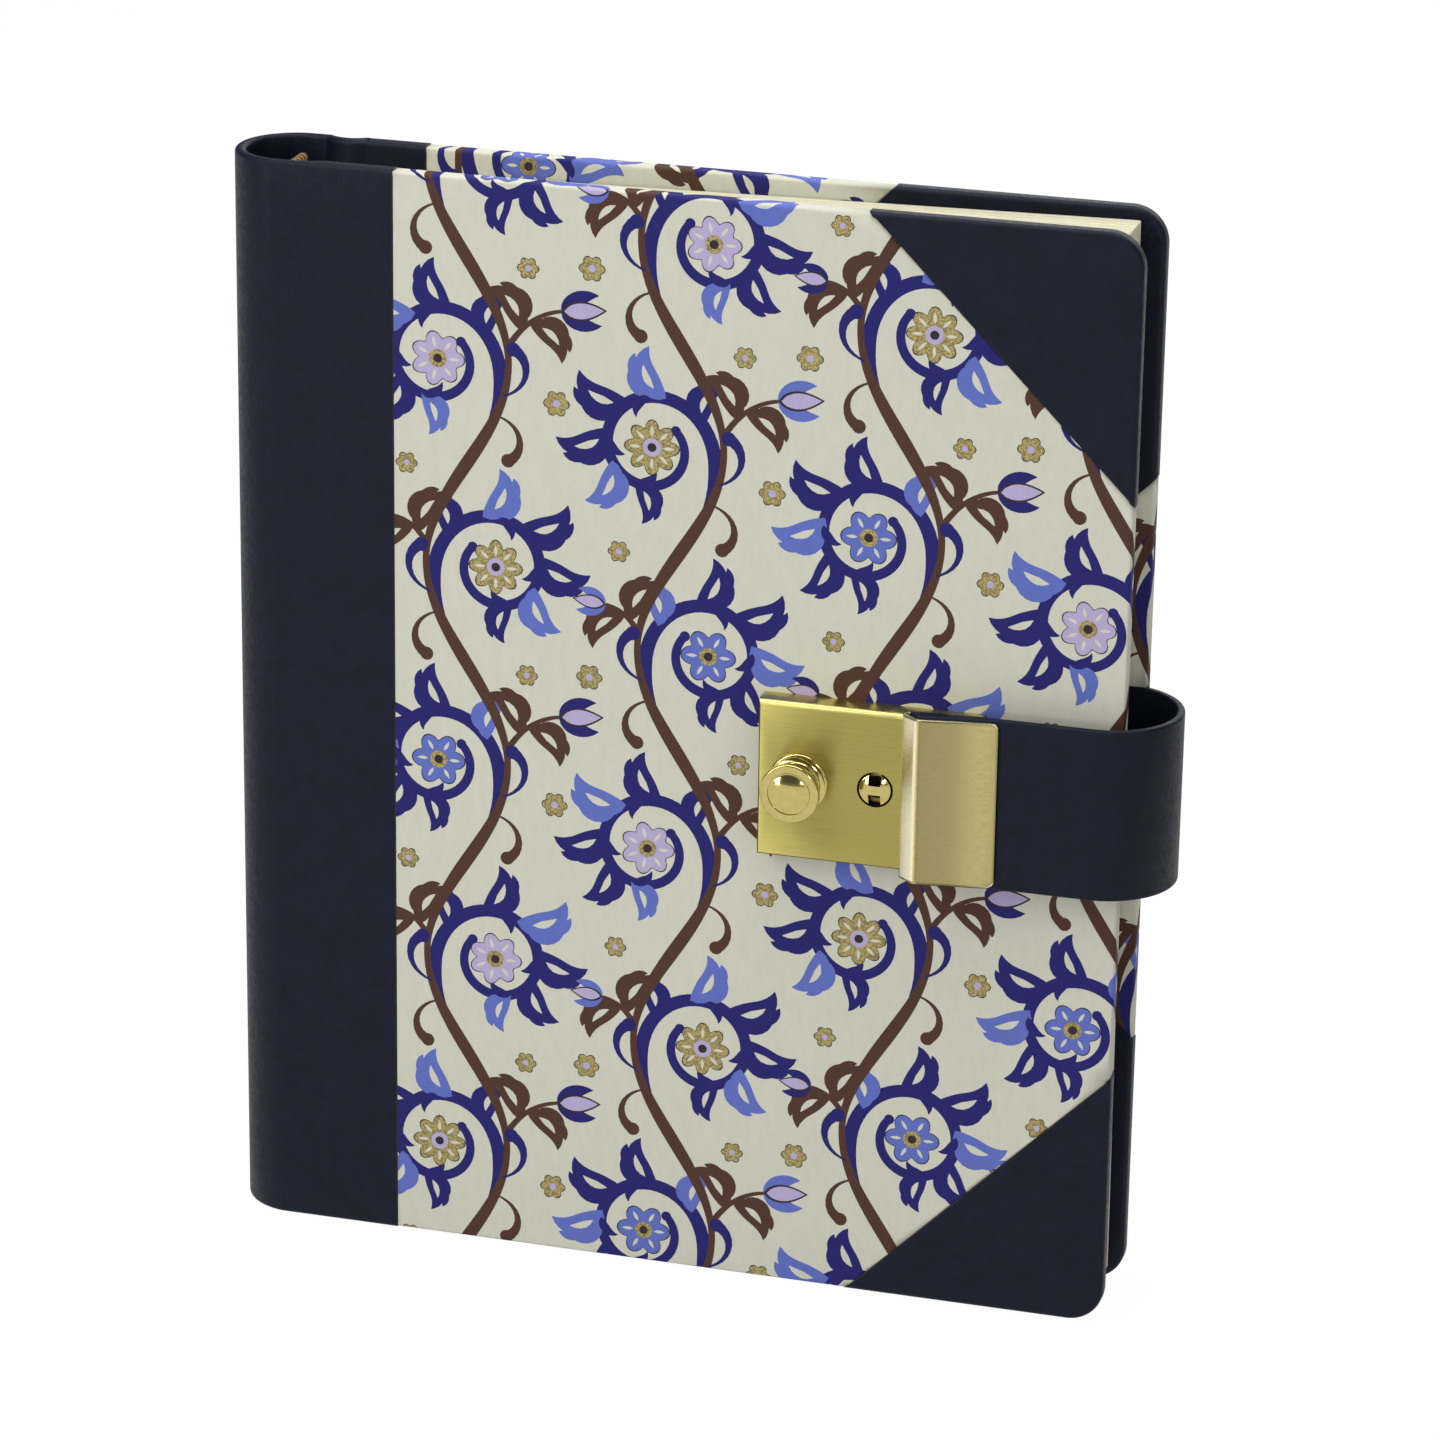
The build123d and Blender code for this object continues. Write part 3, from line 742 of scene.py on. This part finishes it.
def acanthus(x, y, heading, length, turning, ink):
    """A curling leaf with two side lobes on the outside of its curl and a pale eye."""
    side = 1 if turning > 0 else -1
    path = curl(x, y, heading, length, turning, 12)
    width = 0.4 * length
    shapes = []
    for at, share in ((2, 0.66), (5, 0.53)):
        px, py = path[at]
        nx, ny = path[at + 1]
        here = atan2(ny - py, nx - px)
        size = length * share
        lobe = curl(px, py, here - side * 0.75, size, side * 1.7, 9)
        shapes.append(leaf(lobe, 0.46 * size, ink))
    shapes.append(leaf(path, width, ink))
    eye = [0.1, 0.2 * width, 0.3 * width, 0.27 * width, 0.18 * width, 0.1]
    shapes.append((stroke(path[3:9], eye), GROUND))
    return shapes


def comma(x, y, heading, length, turning, width, ink):
    path = curl(x, y, heading, length, turning)
    last = len(path) - 1
    widths = [0.4 + (width - 0.4) * (i / last) ** 1.4 for i in range(last + 1)]
    return [(stroke(path, widths), ink), (circle(*path[-1], width * 0.58, 12), ink)]


def flower(x, y, radius, petals, ink, eye):
    shapes = blob(x, y, radius, 0.25, petals, 0.3, 48, ink)
    for i in range(petals):
        a = 2 * pi * i / petals
        path = [(x + r * cos(a), y + r * sin(a)) for r in spread(0.42 * radius, 0.82 * radius, 3)]
        shapes.append((stroke(path, [0.12, 0.13 * radius, 0.11 * radius, 0.1]), GROUND))
    shapes.append((circle(x, y, 0.34 * radius, 16), eye))
    shapes.append((circle(x, y, 0.17 * radius, 12), DARK))
    return shapes


def seed(x, y, radius=2.4):
    return blob(x, y, radius, 0.2, 6, 0.25, 24, GOLD) + [(circle(x, y, 0.3 * radius, 8), LILAC)]


def tulip(x, y, heading, size, ink, inner):
    shapes = []
    for side in (-1, 1):
        path = curl(x, y, heading + side * 0.75, size, -side * 0.9, 9)
        shapes.append(leaf(path, 0.36 * size, ink))
    path = curl(x, y, heading, 1.05 * size, 0.001, 9)
    shapes.append(leaf(path, 0.46 * size, DARK))
    inset = 0.08 * size
    path = curl(x + inset * cos(heading), y + inset * sin(heading), heading, 0.9 * size, 0.001, 9)
    shapes.append(leaf(path, 0.36 * size, inner))
    return shapes


column_pitch = 41.0
column_first = 48.0
wave = 78.0
swing = 8.0
drop = -13.0
volute_reach = 13.6
low_end = -15.0
high_end = 225.0


def mirrored(angle, side):
    return angle if side > 0 else pi - angle


def stem(middle, start):
    path = []
    widths = []
    for v in spread(low_end, high_end, 160):
        phase = 2 * pi * (v - start) / wave
        path.append((middle + swing * sin(phase), v))
        widths.append(1.9 + 0.6 * cos(2 * phase))
    return [(stroke(path, widths), BROWN)]


def scroll(cx, cy, side, kind):
    """A branch that leaves the stem and curls round a flower, with leaves on both sides."""
    first = radians(-77)
    sweep = radians(475)

    def spiral(t):
        fall = 0.62 * exp(-14 * t) + 0.38 * (1 - t)
        r = 5.7 + 15.8 * fall
        a = first + sweep * t
        return cx + side * r * cos(a), cy + r * sin(a), a

    shares = spread(0, 1, 60)
    path = [spiral(t)[:2] for t in shares]
    widths = [2.9 * min(1.0, 0.25 + 6 * t) * (1 - 0.45 * t) for t in shares]
    shapes = [(stroke(path, widths), INDIGO), (circle(*path[-1], 1.0, 12), INDIGO)]

    inks = (INDIGO, PERIWINKLE, INDIGO, INDIGO, PERIWINKLE, INDIGO)
    leaves = ((0.22, 10.0), (0.32, 11.5), (0.41, 12.5), (0.5, 12.0), (0.59, 11.0), (0.68, 9.0))
    for k, (t, size) in enumerate(leaves):
        x, y, a = spiral(t)
        shapes += acanthus(x, y, mirrored(a + 1.35, side), size, -side * 1.75, inks[(k + kind) % 6])
    for t in (0.36, 0.52, 0.68):
        x, y, a = spiral(t)
        path = curl(x, y, mirrored(a + 1.9, side), 5.2, side * 1.5, 8)
        shapes.append(leaf(path, 1.9, INDIGO))
    ink, eye, petals = ((GOLD, LILAC, 8), (PERIWINKLE, GOLD, 6), (LILAC, GOLD, 7))[kind % 3]
    shapes += flower(cx, cy, 5.1, petals, ink, eye)
    return shapes


def sprig(x, y, side, kind):
    """A short twig on the outside of the stem's bend, with leaves, a bud and seeds."""
    reach = 13.5 if side > 0 else 8.5
    path = curl(x, y, mirrored(1.05, side), reach, -side * 0.9, 12)
    shapes = [(stroke(path, [1.3 - 0.05 * i for i in range(13)]), BROWN)]
    shapes += acanthus(*path[4], mirrored(1.6, side), 11.0, side * 1.6, BROWN)
    shapes += acanthus(*path[6], mirrored(-0.15, side), 10.5, -side * 1.6, BROWN)
    ink = (INDIGO, PERIWINKLE)[kind % 2]
    shapes += tulip(*path[-1], mirrored(0.1, side), 0.45 * reach + 2.2, ink, LILAC)
    shapes += comma(x - side * 0.6, y - 9, mirrored(0.35, side), 12.0, side * 2.4, 2.4, INDIGO)
    shapes += comma(x - side * 1.4, y - 13, mirrored(-0.35, side), 11.0, -side * 2.4, 2.3, BROWN)
    shapes += seed(x + side * 9.5, y - 9.5)
    shapes += seed(x + side * 4.0, y + 15.5, 2.0)
    return shapes


def ornament():
    shapes = []
    for column in range(-1, 4):
        middle = column_first + column * column_pitch
        start = column * drop
        twigs = []
        for k in range(-4, 9):
            peak = start + wave / 4 + k * wave / 2
            if not low_end - 10 < peak < high_end + 10:
                continue
            side = 1 if k % 2 == 0 else -1
            kind = column + 2 * k
            cx = middle + side * (swing - volute_reach)
            shapes += scroll(cx, peak, side, kind)
            twigs += sprig(middle + side * (swing - 0.3), peak + 3, side, kind)
        shapes += stem(middle, start) + twigs
    return shapes


def counter_clockwise(points):
    area = sum(points[i - 1][0] * y - x * points[i - 1][1] for i, (x, y) in enumerate(points))
    return points if area > 0 else points[::-1]


def printed_paper(name, node, body, notch, flips):
    verts = []
    edges = []
    faces = []
    inks = []

    def add_face(points, ink):
        points = counter_clockwise(points)
        first = len(verts)
        verts.extend(Vector(point) for point in points)
        faces.append(list(range(first, first + len(points))))
        inks.append(ink)

    add_face(sheet_outline(notch), GROUND)
    u_low, u_high, v_low, v_high = 33, 184, -11, 221
    for points, ink in ornament():
        if any(u_low < u < u_high and v_low < v < v_high for u, v in points):
            add_face(points, ink)
    for a, b in bend_lines():
        first = len(verts)
        verts.extend((Vector(a), Vector(b)))
        edges.append((first, first + 1))
    out_verts, _, out_faces, _, _, sources = delaunay_2d_cdt(verts, edges, faces, 1, 1e-5, True)
    kept = []
    slots = []
    for face, owners in zip(out_faces, sources):
        if 0 in owners:
            kept.append(tuple(face))
            slots.append(inks[max(owners)])
    points = flipped([wrap_point(v[0], v[1]) for v in out_verts], flips)
    used = sorted({i for face in kept for i in face})
    number = {old: new for new, old in enumerate(used)}
    points = [points[i] for i in used]
    kept = [tuple(number[i] for i in face) for face in kept]
    piece = add_piece(name, points, kept, print_materials, slots, 60)
    solid = piece.modifiers.new("thickness", "SOLIDIFY")
    solid.thickness = 0.00036
    solid.offset = -1
    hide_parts(node)
    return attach(piece, body)


# Text block

block_front = 4.0
section_pitch = 1.825
section_thickness = 1.725
fold_x = 11.0
block_fore = 168.9
block_low = 3.3
block_high = 206.1
head_slope = tan(radians(1.15))
fore_slope = tan(radians(0.5))
turning_sections = 3
folios = 4
page = 0.19
gutter_x = 26.0
gutter_step = 4.6
still_bend_x = 60.0
flyleaf_bend_from = 25.0
flyleaf_bend_to = 34.0
flyleaf_front = 3.7
flyleaf_back = 3.88


def askew(points):
    """The text block's points, with the head rising and the fore-edge falling back a little."""
    moved = []
    for x, y, z in points:
        rise = (x - cover_width / 2) * head_slope * z / cover_height
        moved.append((x - (z - cover_height / 2) * fore_slope, y, z + rise))
    return moved


def folio_outline(y0, y1, step, bend_from, bend_to):
    """A folded leaf pair inside a section, seen from above, as an outline to be raised."""
    offset = step * (section_thickness - page) / 2 / folios
    near = y0 + offset
    far = y1 - offset
    mid = (y0 + y1) / 2
    fore = block_fore + 0.3 - 0.05 * ((step * 7) % 3)
    xs = spread(fold_x, bend_from, 2) + spread(bend_from, bend_to, 14)[1:] + spread(bend_to, fore, 4)[1:]
    outer_radius = (far - near) / 2
    inner_radius = outer_radius - page
    path = [(x, near) for x in reversed(xs)]
    path += arc(fold_x, mid, outer_radius, -quarter, -3 * quarter, 8)[1:-1]
    path += [(x, far) for x in xs]
    path += [(x, far - page) for x in reversed(xs)]
    path += arc(fold_x, mid, max(inner_radius, 0.02), -3 * quarter, -quarter, 8)[1:-1]
    path += [(x, near + page) for x in xs]
    return path


def section_piece(index):
    y0 = block_front + index * section_pitch
    y1 = y0 + section_thickness
    turning = index < turning_sections
    pivot = gutter_x + gutter_step * index if turning else still_bend_x
    bend_from = pivot - 1
    bend_to = pivot + 8
    points = []
    faces = []
    for step in range(folios):
        path = folio_outline(y0, y1, step, bend_from, bend_to)
        trim = 0.04 * ((step * 5 + index * 3) % 4)
        rings = [askew([(x, y, z) for x, y in path]) for z in (block_low + trim, block_high - trim)]
        join(points, faces, rings)
    piece = add_piece(f"leaves_of_section_{index + 1}", points, faces, [page_paper], None, 30)
    if turning:
        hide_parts(f"section_{index + 1}", f"leaf_stack_{index + 1}")
        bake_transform(piece)
    else:
        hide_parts(f"section_{index + 1}")
        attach(piece, "book")
    return piece


def flyleaf(name, node, start, flips):
    xs = spread(start, flyleaf_bend_from, 3) + spread(flyleaf_bend_from, flyleaf_bend_to, 14)[1:]
    xs += spread(flyleaf_bend_to, block_fore, 4)[1:]
    path = [(x, flyleaf_front) for x in xs] + [(x, flyleaf_back) for x in reversed(xs)]
    rings = [askew([(x, y, z) for x, y in path]) for z in (block_low, block_high)]
    piece = lofted(name, rings, [endpaper], None, 30, flips)
    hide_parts(node)
    return piece


def band(name, node, flips):
    """A sewn bead: ridges of two silks wound side by side, and the cloth tongue below it."""
    bead_x = 10.14
    bead_z = block_high + 0.1
    bead_start = 4.0
    bead_length = 14.5
    thin = 0.78
    ridge = 0.22
    tongue_x = 10.0
    tongue_height = 8.0
    ridges = 20
    steps = 4
    around = 14
    rings = []
    slots = []
    for i in range(ridges * steps + 1):
        y = bead_start + bead_length * i / (ridges * steps)
        radius = thin + ridge * sin(pi * (i % steps) / steps)
        rings.append([(x, y, z) for x, z in circle(bead_x, bead_z, radius, around)])
        if i:
            slots += [((i - 1) // steps) % 2] * around
    points, faces = loft(rings)
    tongue = rectangle(tongue_x - 0.25, tongue_x, block_high - tongue_height, block_high - 0.1)
    join(points, faces, [[(x, y, z) for x, z in tongue] for y in (bead_start, bead_start + bead_length)])
    slots += [0, 0] + [1] * 6
    piece = add_piece(name, flipped(points, flips), faces, [silk_gold, silk_brown], slots, 50)
    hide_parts(node)
    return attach(piece, "book")


# Lock

def above(height):
    return lock_base_y - height


def lathe(name, x, z, profile, materials, steps):
    rings = []
    for radius, height in profile:
        rings.append([(px, above(height), pz) for px, pz in circle(x, z, radius, steps)])
    return lofted(name, rings, materials, None, 40)


def dome(radius, rise, top, count):
    """Profile of a shallow dome, from just inside its edge to its middle."""
    sphere = arc_radius(radius, rise)
    return [(r, top - sphere + sqrt(sphere ** 2 - r ** 2)) for r in spread(radius - 0.05, 0, count)]


def prism(name, outline, low, high):
    rings = [[(x, above(h), z) for x, z in outline] for h in (low, high)]
    return lofted(name, rings, [polished_brass], None, 30)


def bevel(piece, chosen, offset, segments):
    work = bmesh.new()
    work.from_mesh(piece.data)
    edges = [edge for edge in work.edges if chosen(edge)]
    bmesh.ops.bevel(work, geom=edges, offset=offset / 1000, segments=segments, profile=0.5, affect="EDGES")
    work.to_mesh(piece.data)
    work.free()
    tidy(piece.data, 30)


def cut(piece, cutters, sharp):
    for cutter in cutters:
        modifier = piece.modifiers.new("cut", "BOOLEAN")
        modifier.operation = "DIFFERENCE"
        modifier.solver = "EXACT"
        modifier.object = cutter
    bpy.context.view_layer.update()
    mesh = bpy.data.meshes.new_from_object(piece.evaluated_get(bpy.context.evaluated_depsgraph_get()))
    piece.modifiers.clear()
    piece.data = mesh
    for cutter in cutters:
        bpy.data.objects.remove(cutter)
    tidy(mesh, sharp)


def by_normal(piece, slot_of):
    for face in piece.data.polygons:
        face.material_index = slot_of(face.normal, face.center)


def lock_case():
    top_bevel = 0.95
    side_bevel = 0.4
    rings = [[(x, above(0), z) for x, z in rectangle(lock_left, lock_right, lock_bottom, lock_top)]]
    for a in spread(0, quarter, 6):
        side = side_bevel * (1 - cos(a))
        outline = rectangle(lock_left + side, lock_right - side, lock_bottom + side,
                            lock_top - top_bevel * (1 - cos(a)))
        height = lock_depth - top_bevel * (1 - sin(a))
        rings.append([(x, above(height), z) for x, z in outline])
    piece = lofted("lock_case_shell", rings, [brushed_brass], None, 30)
    wall = 0.6
    cavity = rectangle(lock_left + wall, lock_right - wall, lock_bottom + wall, lock_top - wall)
    cutters = [prism("cavity", cavity, -1, lock_depth - wall)]
    slot_radius = 1.6
    slot = arc(knob_x, lock_z, slot_radius, -quarter, quarter, 10)
    slot += arc(knob_x - bolt_travel, lock_z, slot_radius, quarter, 3 * quarter, 10)
    hole_radius = 3.4
    hole = circle(barrel_x, lock_z, hole_radius, 48)
    slot_half = 4.1
    staple = rectangle(137.6, 141.0, lock_z - slot_half, lock_z + slot_half)
    for name, outline in (("knob_slot", slot), ("barrel_hole", hole), ("staple_slot", staple)):
        cutters.append(prism(name, outline, 2, 7))
    cut(piece, cutters, 30)
    dress(piece.data, (brushed_brass, smooth_brass, painted_shade_brass, painted_recess_shade_brass))
    axis_x, _, axis_z = place(barrel_x, 0, lock_z)

    def finish(normal, centre):
        if normal.y < -0.995:
            return 0
        # The keyhole's wall takes the near-black brass: painted shade.
        if hypot(centre.x - axis_x, centre.z - axis_z) < (hole_radius + 0.1) / 1000:
            return 3
        # Faces turned left or down take the darker brass: painted shade; the rest of the rim is smooth brass.
        return 2 if normal.z < -0.25 or normal.x < -0.25 else 1

    by_normal(piece, finish)
    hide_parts("lock_case")
    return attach(piece, "front_cover")


def slide_knob():
    foot = lock_depth + 0.05
    crown = lock_depth + 7.2
    neck = 3.7
    inlay = 3.9
    profile = [(0.0, 3.1), (1.0, 3.1), (1.0, 3.9), (1.5, 3.9), (1.5, foot), (5.2, foot)]
    profile += arc(5.2, foot + 0.4, 0.4, 0.3 - quarter, 0, 4)
    profile += arc(5.2, foot + 0.7, 0.4, 0, quarter, 4)
    profile += [(4.5, foot + 1.15), (4.1, foot + 1.5)]
    profile += arc(4.1, foot + 2.1, 0.55, -quarter, quarter, 6)
    profile += [(neck, foot + 2.9), (neck, crown - 2.7), (3.9, crown - 2.3)]
    profile += [(4.5, crown - 1.85), (5.1, crown - 1.7)]
    profile += arc(5.1, crown - 1.2, 0.5, -1.4, 0, 4)
    profile += arc(5.25, crown - 0.35, 0.35, 0, quarter, 5)
    profile += [(4.05, crown), (4.02, crown - 0.3), (3.94, crown - 0.3), (inlay, crown - 0.12)]
    profile += dome(inlay, 0.75, crown + 0.6, 12)
    piece = lathe("slide_knob_turned", knob_x, lock_z, profile, [polished_brass], 72)
    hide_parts("slide_knob")
    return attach(piece, "slide")


def key_barrel():
    crown = lock_depth + 0.1
    face_radius = 3.05
    rise = 0.6
    edge = 0.2
    profile = [(0.0, 0.7), (2.2, 0.7), (2.2, 2.9), (3.9, 2.9), (3.9, 3.9), (face_radius, 3.9)]
    profile.append((face_radius, crown - edge))
    profile += arc(face_radius - edge, crown - edge, edge, 0.3, quarter, 4)
    profile += dome(face_radius - edge, rise, crown + rise, 8)
    piece = lathe("key_barrel_plug", barrel_x, lock_z, profile, [polished_brass, painted_recess_shade_brass], 64)
    half = 1.15
    bridge = 0.875
    reach = 2.2
    cutters = []
    for side in (-1, 1):
        low = lock_z + side * bridge
        high = low + side * reach
        outline = rectangle(barrel_x - half, barrel_x + half, min(low, high), max(low, high))
        cutters.append(prism("key_notch", outline, crown - 2.0, crown + 2))
    cut(piece, cutters, 40)
    rim_y = place(0, above(crown - 0.25), 0)[1]
    # Faces deeper than the rim, in the notches and the gap round the plug, take the near-black brass: painted
    # shade.
    by_normal(piece, lambda normal, centre: 1 if centre.y > rim_y else 0)
    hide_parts("key_barrel")
    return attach(piece, "barrel")


def bolt_spring():
    start = 106.25
    end = 117.1
    bends = 7
    below = 4.0
    swing_z = 1.1
    section = rectangle(-2.8, -1.4, -0.25, 0.25)
    rings = []
    for share in spread(0, 1, 8 * bends):
        x = start + (end - start) * share
        z = lock_z - below - swing_z * cos(pi * bends * share)
        rings.append([(x, y, z + side) for y, side in section])
    piece = lofted("bolt_strip_spring", rings, [steel], None, 40)
    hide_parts("bolt_spring")
    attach(piece, "front_cover")
    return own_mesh(piece)


def hasp_nose(inset):
    """The folded end from back plate to front plate: a tight fold, a narrow flat and a slight bend."""
    bend = 2.0
    x1, h1 = fold_x_centre, fold_height
    ax, ah = cos(band_angle), sin(band_angle)
    bx, bh = sin(hasp_lean), cos(hasp_lean)
    a = ax * x1 + ah * h1 + fold_radius - bend
    b = bx * nose_x + bh * hasp_front(nose_x, 0) - bend
    x2 = (a * bh - b * ah) / (ax * bh - bx * ah)
    h2 = (ax * b - bx * a) / (ax * bh - bx * ah)
    path = arc(x1, h1, fold_radius - inset, -quarter - back_lean, band_angle - 2 * pi, 12)
    return path + arc(x2, h2, bend - inset, band_angle, quarter - hasp_lean, 16)


def hasp_ring(z, cut_back):
    """The folded cap seen from above, its front plate cut back at the right end."""
    right = hasp_right - cut_back
    outline = [(hasp_right, hasp_low)]
    outline += [(x, hasp_back(x, hasp_sheet)) for x in (hasp_right, back_bend_x, plate_middle_x)]
    outline += hasp_nose(hasp_sheet)
    outline += [(x, hasp_front(x, hasp_sheet)) for x in (plate_middle_x, right)]
    outline += [(x, hasp_front(x, 0)) for x in (right, plate_middle_x)]
    outline += hasp_nose(0)[::-1]
    outline += [(x, hasp_back(x, 0)) for x in (plate_middle_x, back_bend_x)]
    return [(x, above(h), strap_z + z) for x, h in outline]


def hasp_staple():
    """The eye under the hasp, carried up to the back plate."""
    half = 3.5
    eye = 2.75
    depth = 3.1
    body = rectangle(138.2, 139.4, lock_z - half, lock_z + half)
    hole = rectangle(137, 141, lock_z - eye, lock_z + eye)
    piece = prism("hasp_staple_eye", body, hasp_low - depth, hasp_back(138.8, hasp_sheet / 2))
    cut(piece, [prism("staple_eye_cut", hole, 2.85, 4.15)], 30)
    piece.data.materials[0] = satin_brass
    bevel(piece, lambda edge: edge.calc_face_angle(0) > 0.6, 0.15, 2)
    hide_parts("hasp_staple")
    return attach(piece, "strap")


def hasp_cap():
    corner = 1.3
    straight = 12
    rounding = [(corner * (1 - cos(a)), corner * (1 - sin(a))) for a in spread(0, quarter, 8)]
    rings = [hasp_ring(rise - hasp_half, back) for rise, back in rounding]
    rings += [hasp_ring(z, 0) for z in spread(-straight, straight, 4)]
    rings += [hasp_ring(hasp_half - rise, back) for rise, back in reversed(rounding)]
    piece = lofted("hasp_folded_cap", rings, [satin_brass, painted_highlight_brass, painted_shade_fold_brass], None, 30)
    top = place(0, 0, strap_z + hasp_half)[2]
    bottom = place(0, 0, strap_z - hasp_half)[2]
    right_end = place(150, 0, 0)[0]

    def rim(edge):
        ends = [vert.co for vert in edge.verts]
        on_side = all(abs(v.z - top) < 1e-6 or abs(v.z - bottom) < 1e-6 for v in ends)
        fronts = [place(0, above(hasp_front(v.x * 1000 + origin_x, 0.1)), 0)[1] for v in ends]
        on_right = all(v.x > right_end and v.y < front for v, front in zip(ends, fronts))
        sharp = len(edge.link_faces) == 2 and edge.calc_face_angle(0) > 0.6
        return sharp and (on_side or on_right)

    bevel(piece, rim, 0.4, 4)
    bend_left = sin(hasp_lean) - 0.36
    bend_right = sin(hasp_lean) - 0.06

    def finish(normal, centre):
        # The top, bottom and right edges and the bend take the pale brass: a painted highlight.
        edge = abs(normal.z) > 0.2 or normal.x > 0.3
        bend = bend_left < normal.x < bend_right and normal.y < 0
        # The folded band takes the darker brass: painted shade.
        fold = normal.x < -0.5 and normal.y < 0.3
        return 1 if edge or bend else 2 if fold else 0

    by_normal(piece, finish)
    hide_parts("hasp_cap")
    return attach(piece, "strap")


# Pieces

front_joint_leather()
spine_leather()
for side, body, flips in (("front", "front_cover", []), ("back", "book", [to_back])):
    for end, more in (("upper", []), ("lower", [to_foot])):
        corner_leather(f"{side}_corner_leather_{end}", f"{side}_corner_{end}", body, flips + more)
strap()
printed_paper("front_printed_paper", "front_cover_paper", "front_cover", False, [])
printed_paper("back_printed_paper", "back_cover_paper", "book", True, [to_back])
for number in range(8):
    section_piece(number)
front_leaf = flyleaf("front_endpaper_leaf", "front_flyleaf", fold_x, [])
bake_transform(front_leaf)
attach(flyleaf("back_endpaper_leaf", "back_flyleaf", 15.0, [to_back]), "book")
band("head_band_bead", "head_band", [])
band("tail_band_bead", "tail_band", [to_foot])
lock_case()
slide_knob()
key_barrel()
bolt_spring()
hasp_cap()
hasp_staple()

finishes = (
    (card_material, ("front_board", "back_board", "spine_card")),
    (endpaper, ("front_pastedown", "back_pastedown")),
    (lining_material, ("spine_lining",)),
    (dark_brass, ("lock_base_plate", "lock_prongs", "slide_bolt", "barrel_cam")),
    (polished_brass, ("hasp_rivets",)),
)
for material, nodes in finishes:
    for node in nodes:
        dress(frame["nodes"][node].data, [material])


# Floor, light and camera

def floor():
    size = 6.0
    mesh = bpy.data.meshes.new("floor")
    mesh.from_pydata([(x, y, 0) for x, y in rectangle(-size, size, -size, size)], [], [(0, 1, 2, 3)])
    material = new_material("floor", (0.55, 0.55, 0.55, 1), 0.9)
    nodes = material.node_tree.nodes
    links = material.node_tree.links
    glow = nodes.new("ShaderNodeEmission")
    glow.inputs["Strength"].default_value = 1.06
    path = nodes.new("ShaderNodeLightPath")
    seen = path.outputs["Is Camera Ray"]
    for ray in ("Is Glossy Ray", "Is Transmission Ray"):
        either = nodes.new("ShaderNodeMath")
        either.operation = "MAXIMUM"
        links.new(seen, either.inputs[0])
        links.new(path.outputs[ray], either.inputs[1])
        seen = either.outputs[0]
    share = nodes.new("ShaderNodeMath")
    share.operation = "MULTIPLY"
    share.inputs[1].default_value = 0.9
    links.new(seen, share.inputs[0])
    mix = nodes.new("ShaderNodeMixShader")
    links.new(share.outputs[0], mix.inputs["Fac"])
    links.new(shader_of(material).outputs["BSDF"], mix.inputs[1])
    links.new(glow.outputs["Emission"], mix.inputs[2])
    links.new(mix.outputs["Shader"], nodes["Material Output"].inputs["Surface"])
    mesh.materials.append(material)
    piece = in_scene("floor", mesh)


def lamp(name, location, size, power, target=(0, 0, 0.1)):
    data = bpy.data.lights.new(name, "AREA")
    data.shape = "RECTANGLE"
    data.size, data.size_y = size
    data.energy = power
    piece = in_scene(name, data)
    piece.location = location
    aim = Vector(target) - Vector(location)
    piece.rotation_euler = aim.to_track_quat("-Z", "Y").to_euler()


def world():
    """A soft room: paler at the horizon and overhead, darker between them."""
    scene_world = bpy.data.worlds.new("studio")
    scene_world.use_nodes = True
    nodes = scene_world.node_tree.nodes
    where = nodes.new("ShaderNodeTexCoord")
    split = nodes.new("ShaderNodeSeparateXYZ")
    feed(scene_world, where.outputs["Generated"], split.inputs["Vector"])
    stops = [(0.0, (0.3, 0.31, 0.33, 1)), (0.12, (0.13, 0.135, 0.145, 1)), (0.55, (0.12, 0.125, 0.14, 1)),
             (1.0, (0.5, 0.52, 0.56, 1))]
    colour = ramp(scene_world, split.outputs["Z"], stops)
    feed(scene_world, colour, nodes["Background"].inputs["Color"])
    bpy.context.scene.world = scene_world


def camera():
    yaw, pitch, roll = (radians(angle) for angle in (15.83, 19.76, 0.88))
    forward = Vector((-sin(yaw) * cos(pitch), cos(yaw) * cos(pitch), -sin(pitch)))
    level = Vector((cos(yaw), sin(yaw), 0))
    upright = level.cross(forward)
    right = cos(roll) * level + sin(roll) * upright
    up = right.cross(forward)
    data = bpy.data.cameras.new("camera")
    data.lens = 141.55
    data.sensor_fit = "HORIZONTAL"
    data.clip_start = 0.05
    data.clip_end = 30
    piece = in_scene("camera", data)
    turn = Matrix((right, up, -forward)).transposed().to_4x4()
    piece.matrix_world = Matrix.Translation((0.2734, -0.94825, 0.4637)) @ turn
    bpy.context.scene.camera = piece


floor()
world()
lamp("key", (-0.72, -0.85, 0.95), (0.5, 0.7), 6.8)
lamp("spark", (0.27, -0.93, 0.25), (0.12, 0.12), 0.9)
lamp("strip", (-0.51, -0.724, 0.26), (0.12, 0.4), 1.3, (0.045, 0, 0.1))
lamp("fill", (0.9, -0.6, 0.6), (0.7, 0.9), 1.7)
lamp("back", (0.1, 1.0, 0.7), (0.9, 0.9), 5.0)
lamp("top", (0.0, -0.1, 1.2), (0.9, 0.7), 9.2)
camera()
bpy.context.scene.view_settings.view_transform = "Standard"
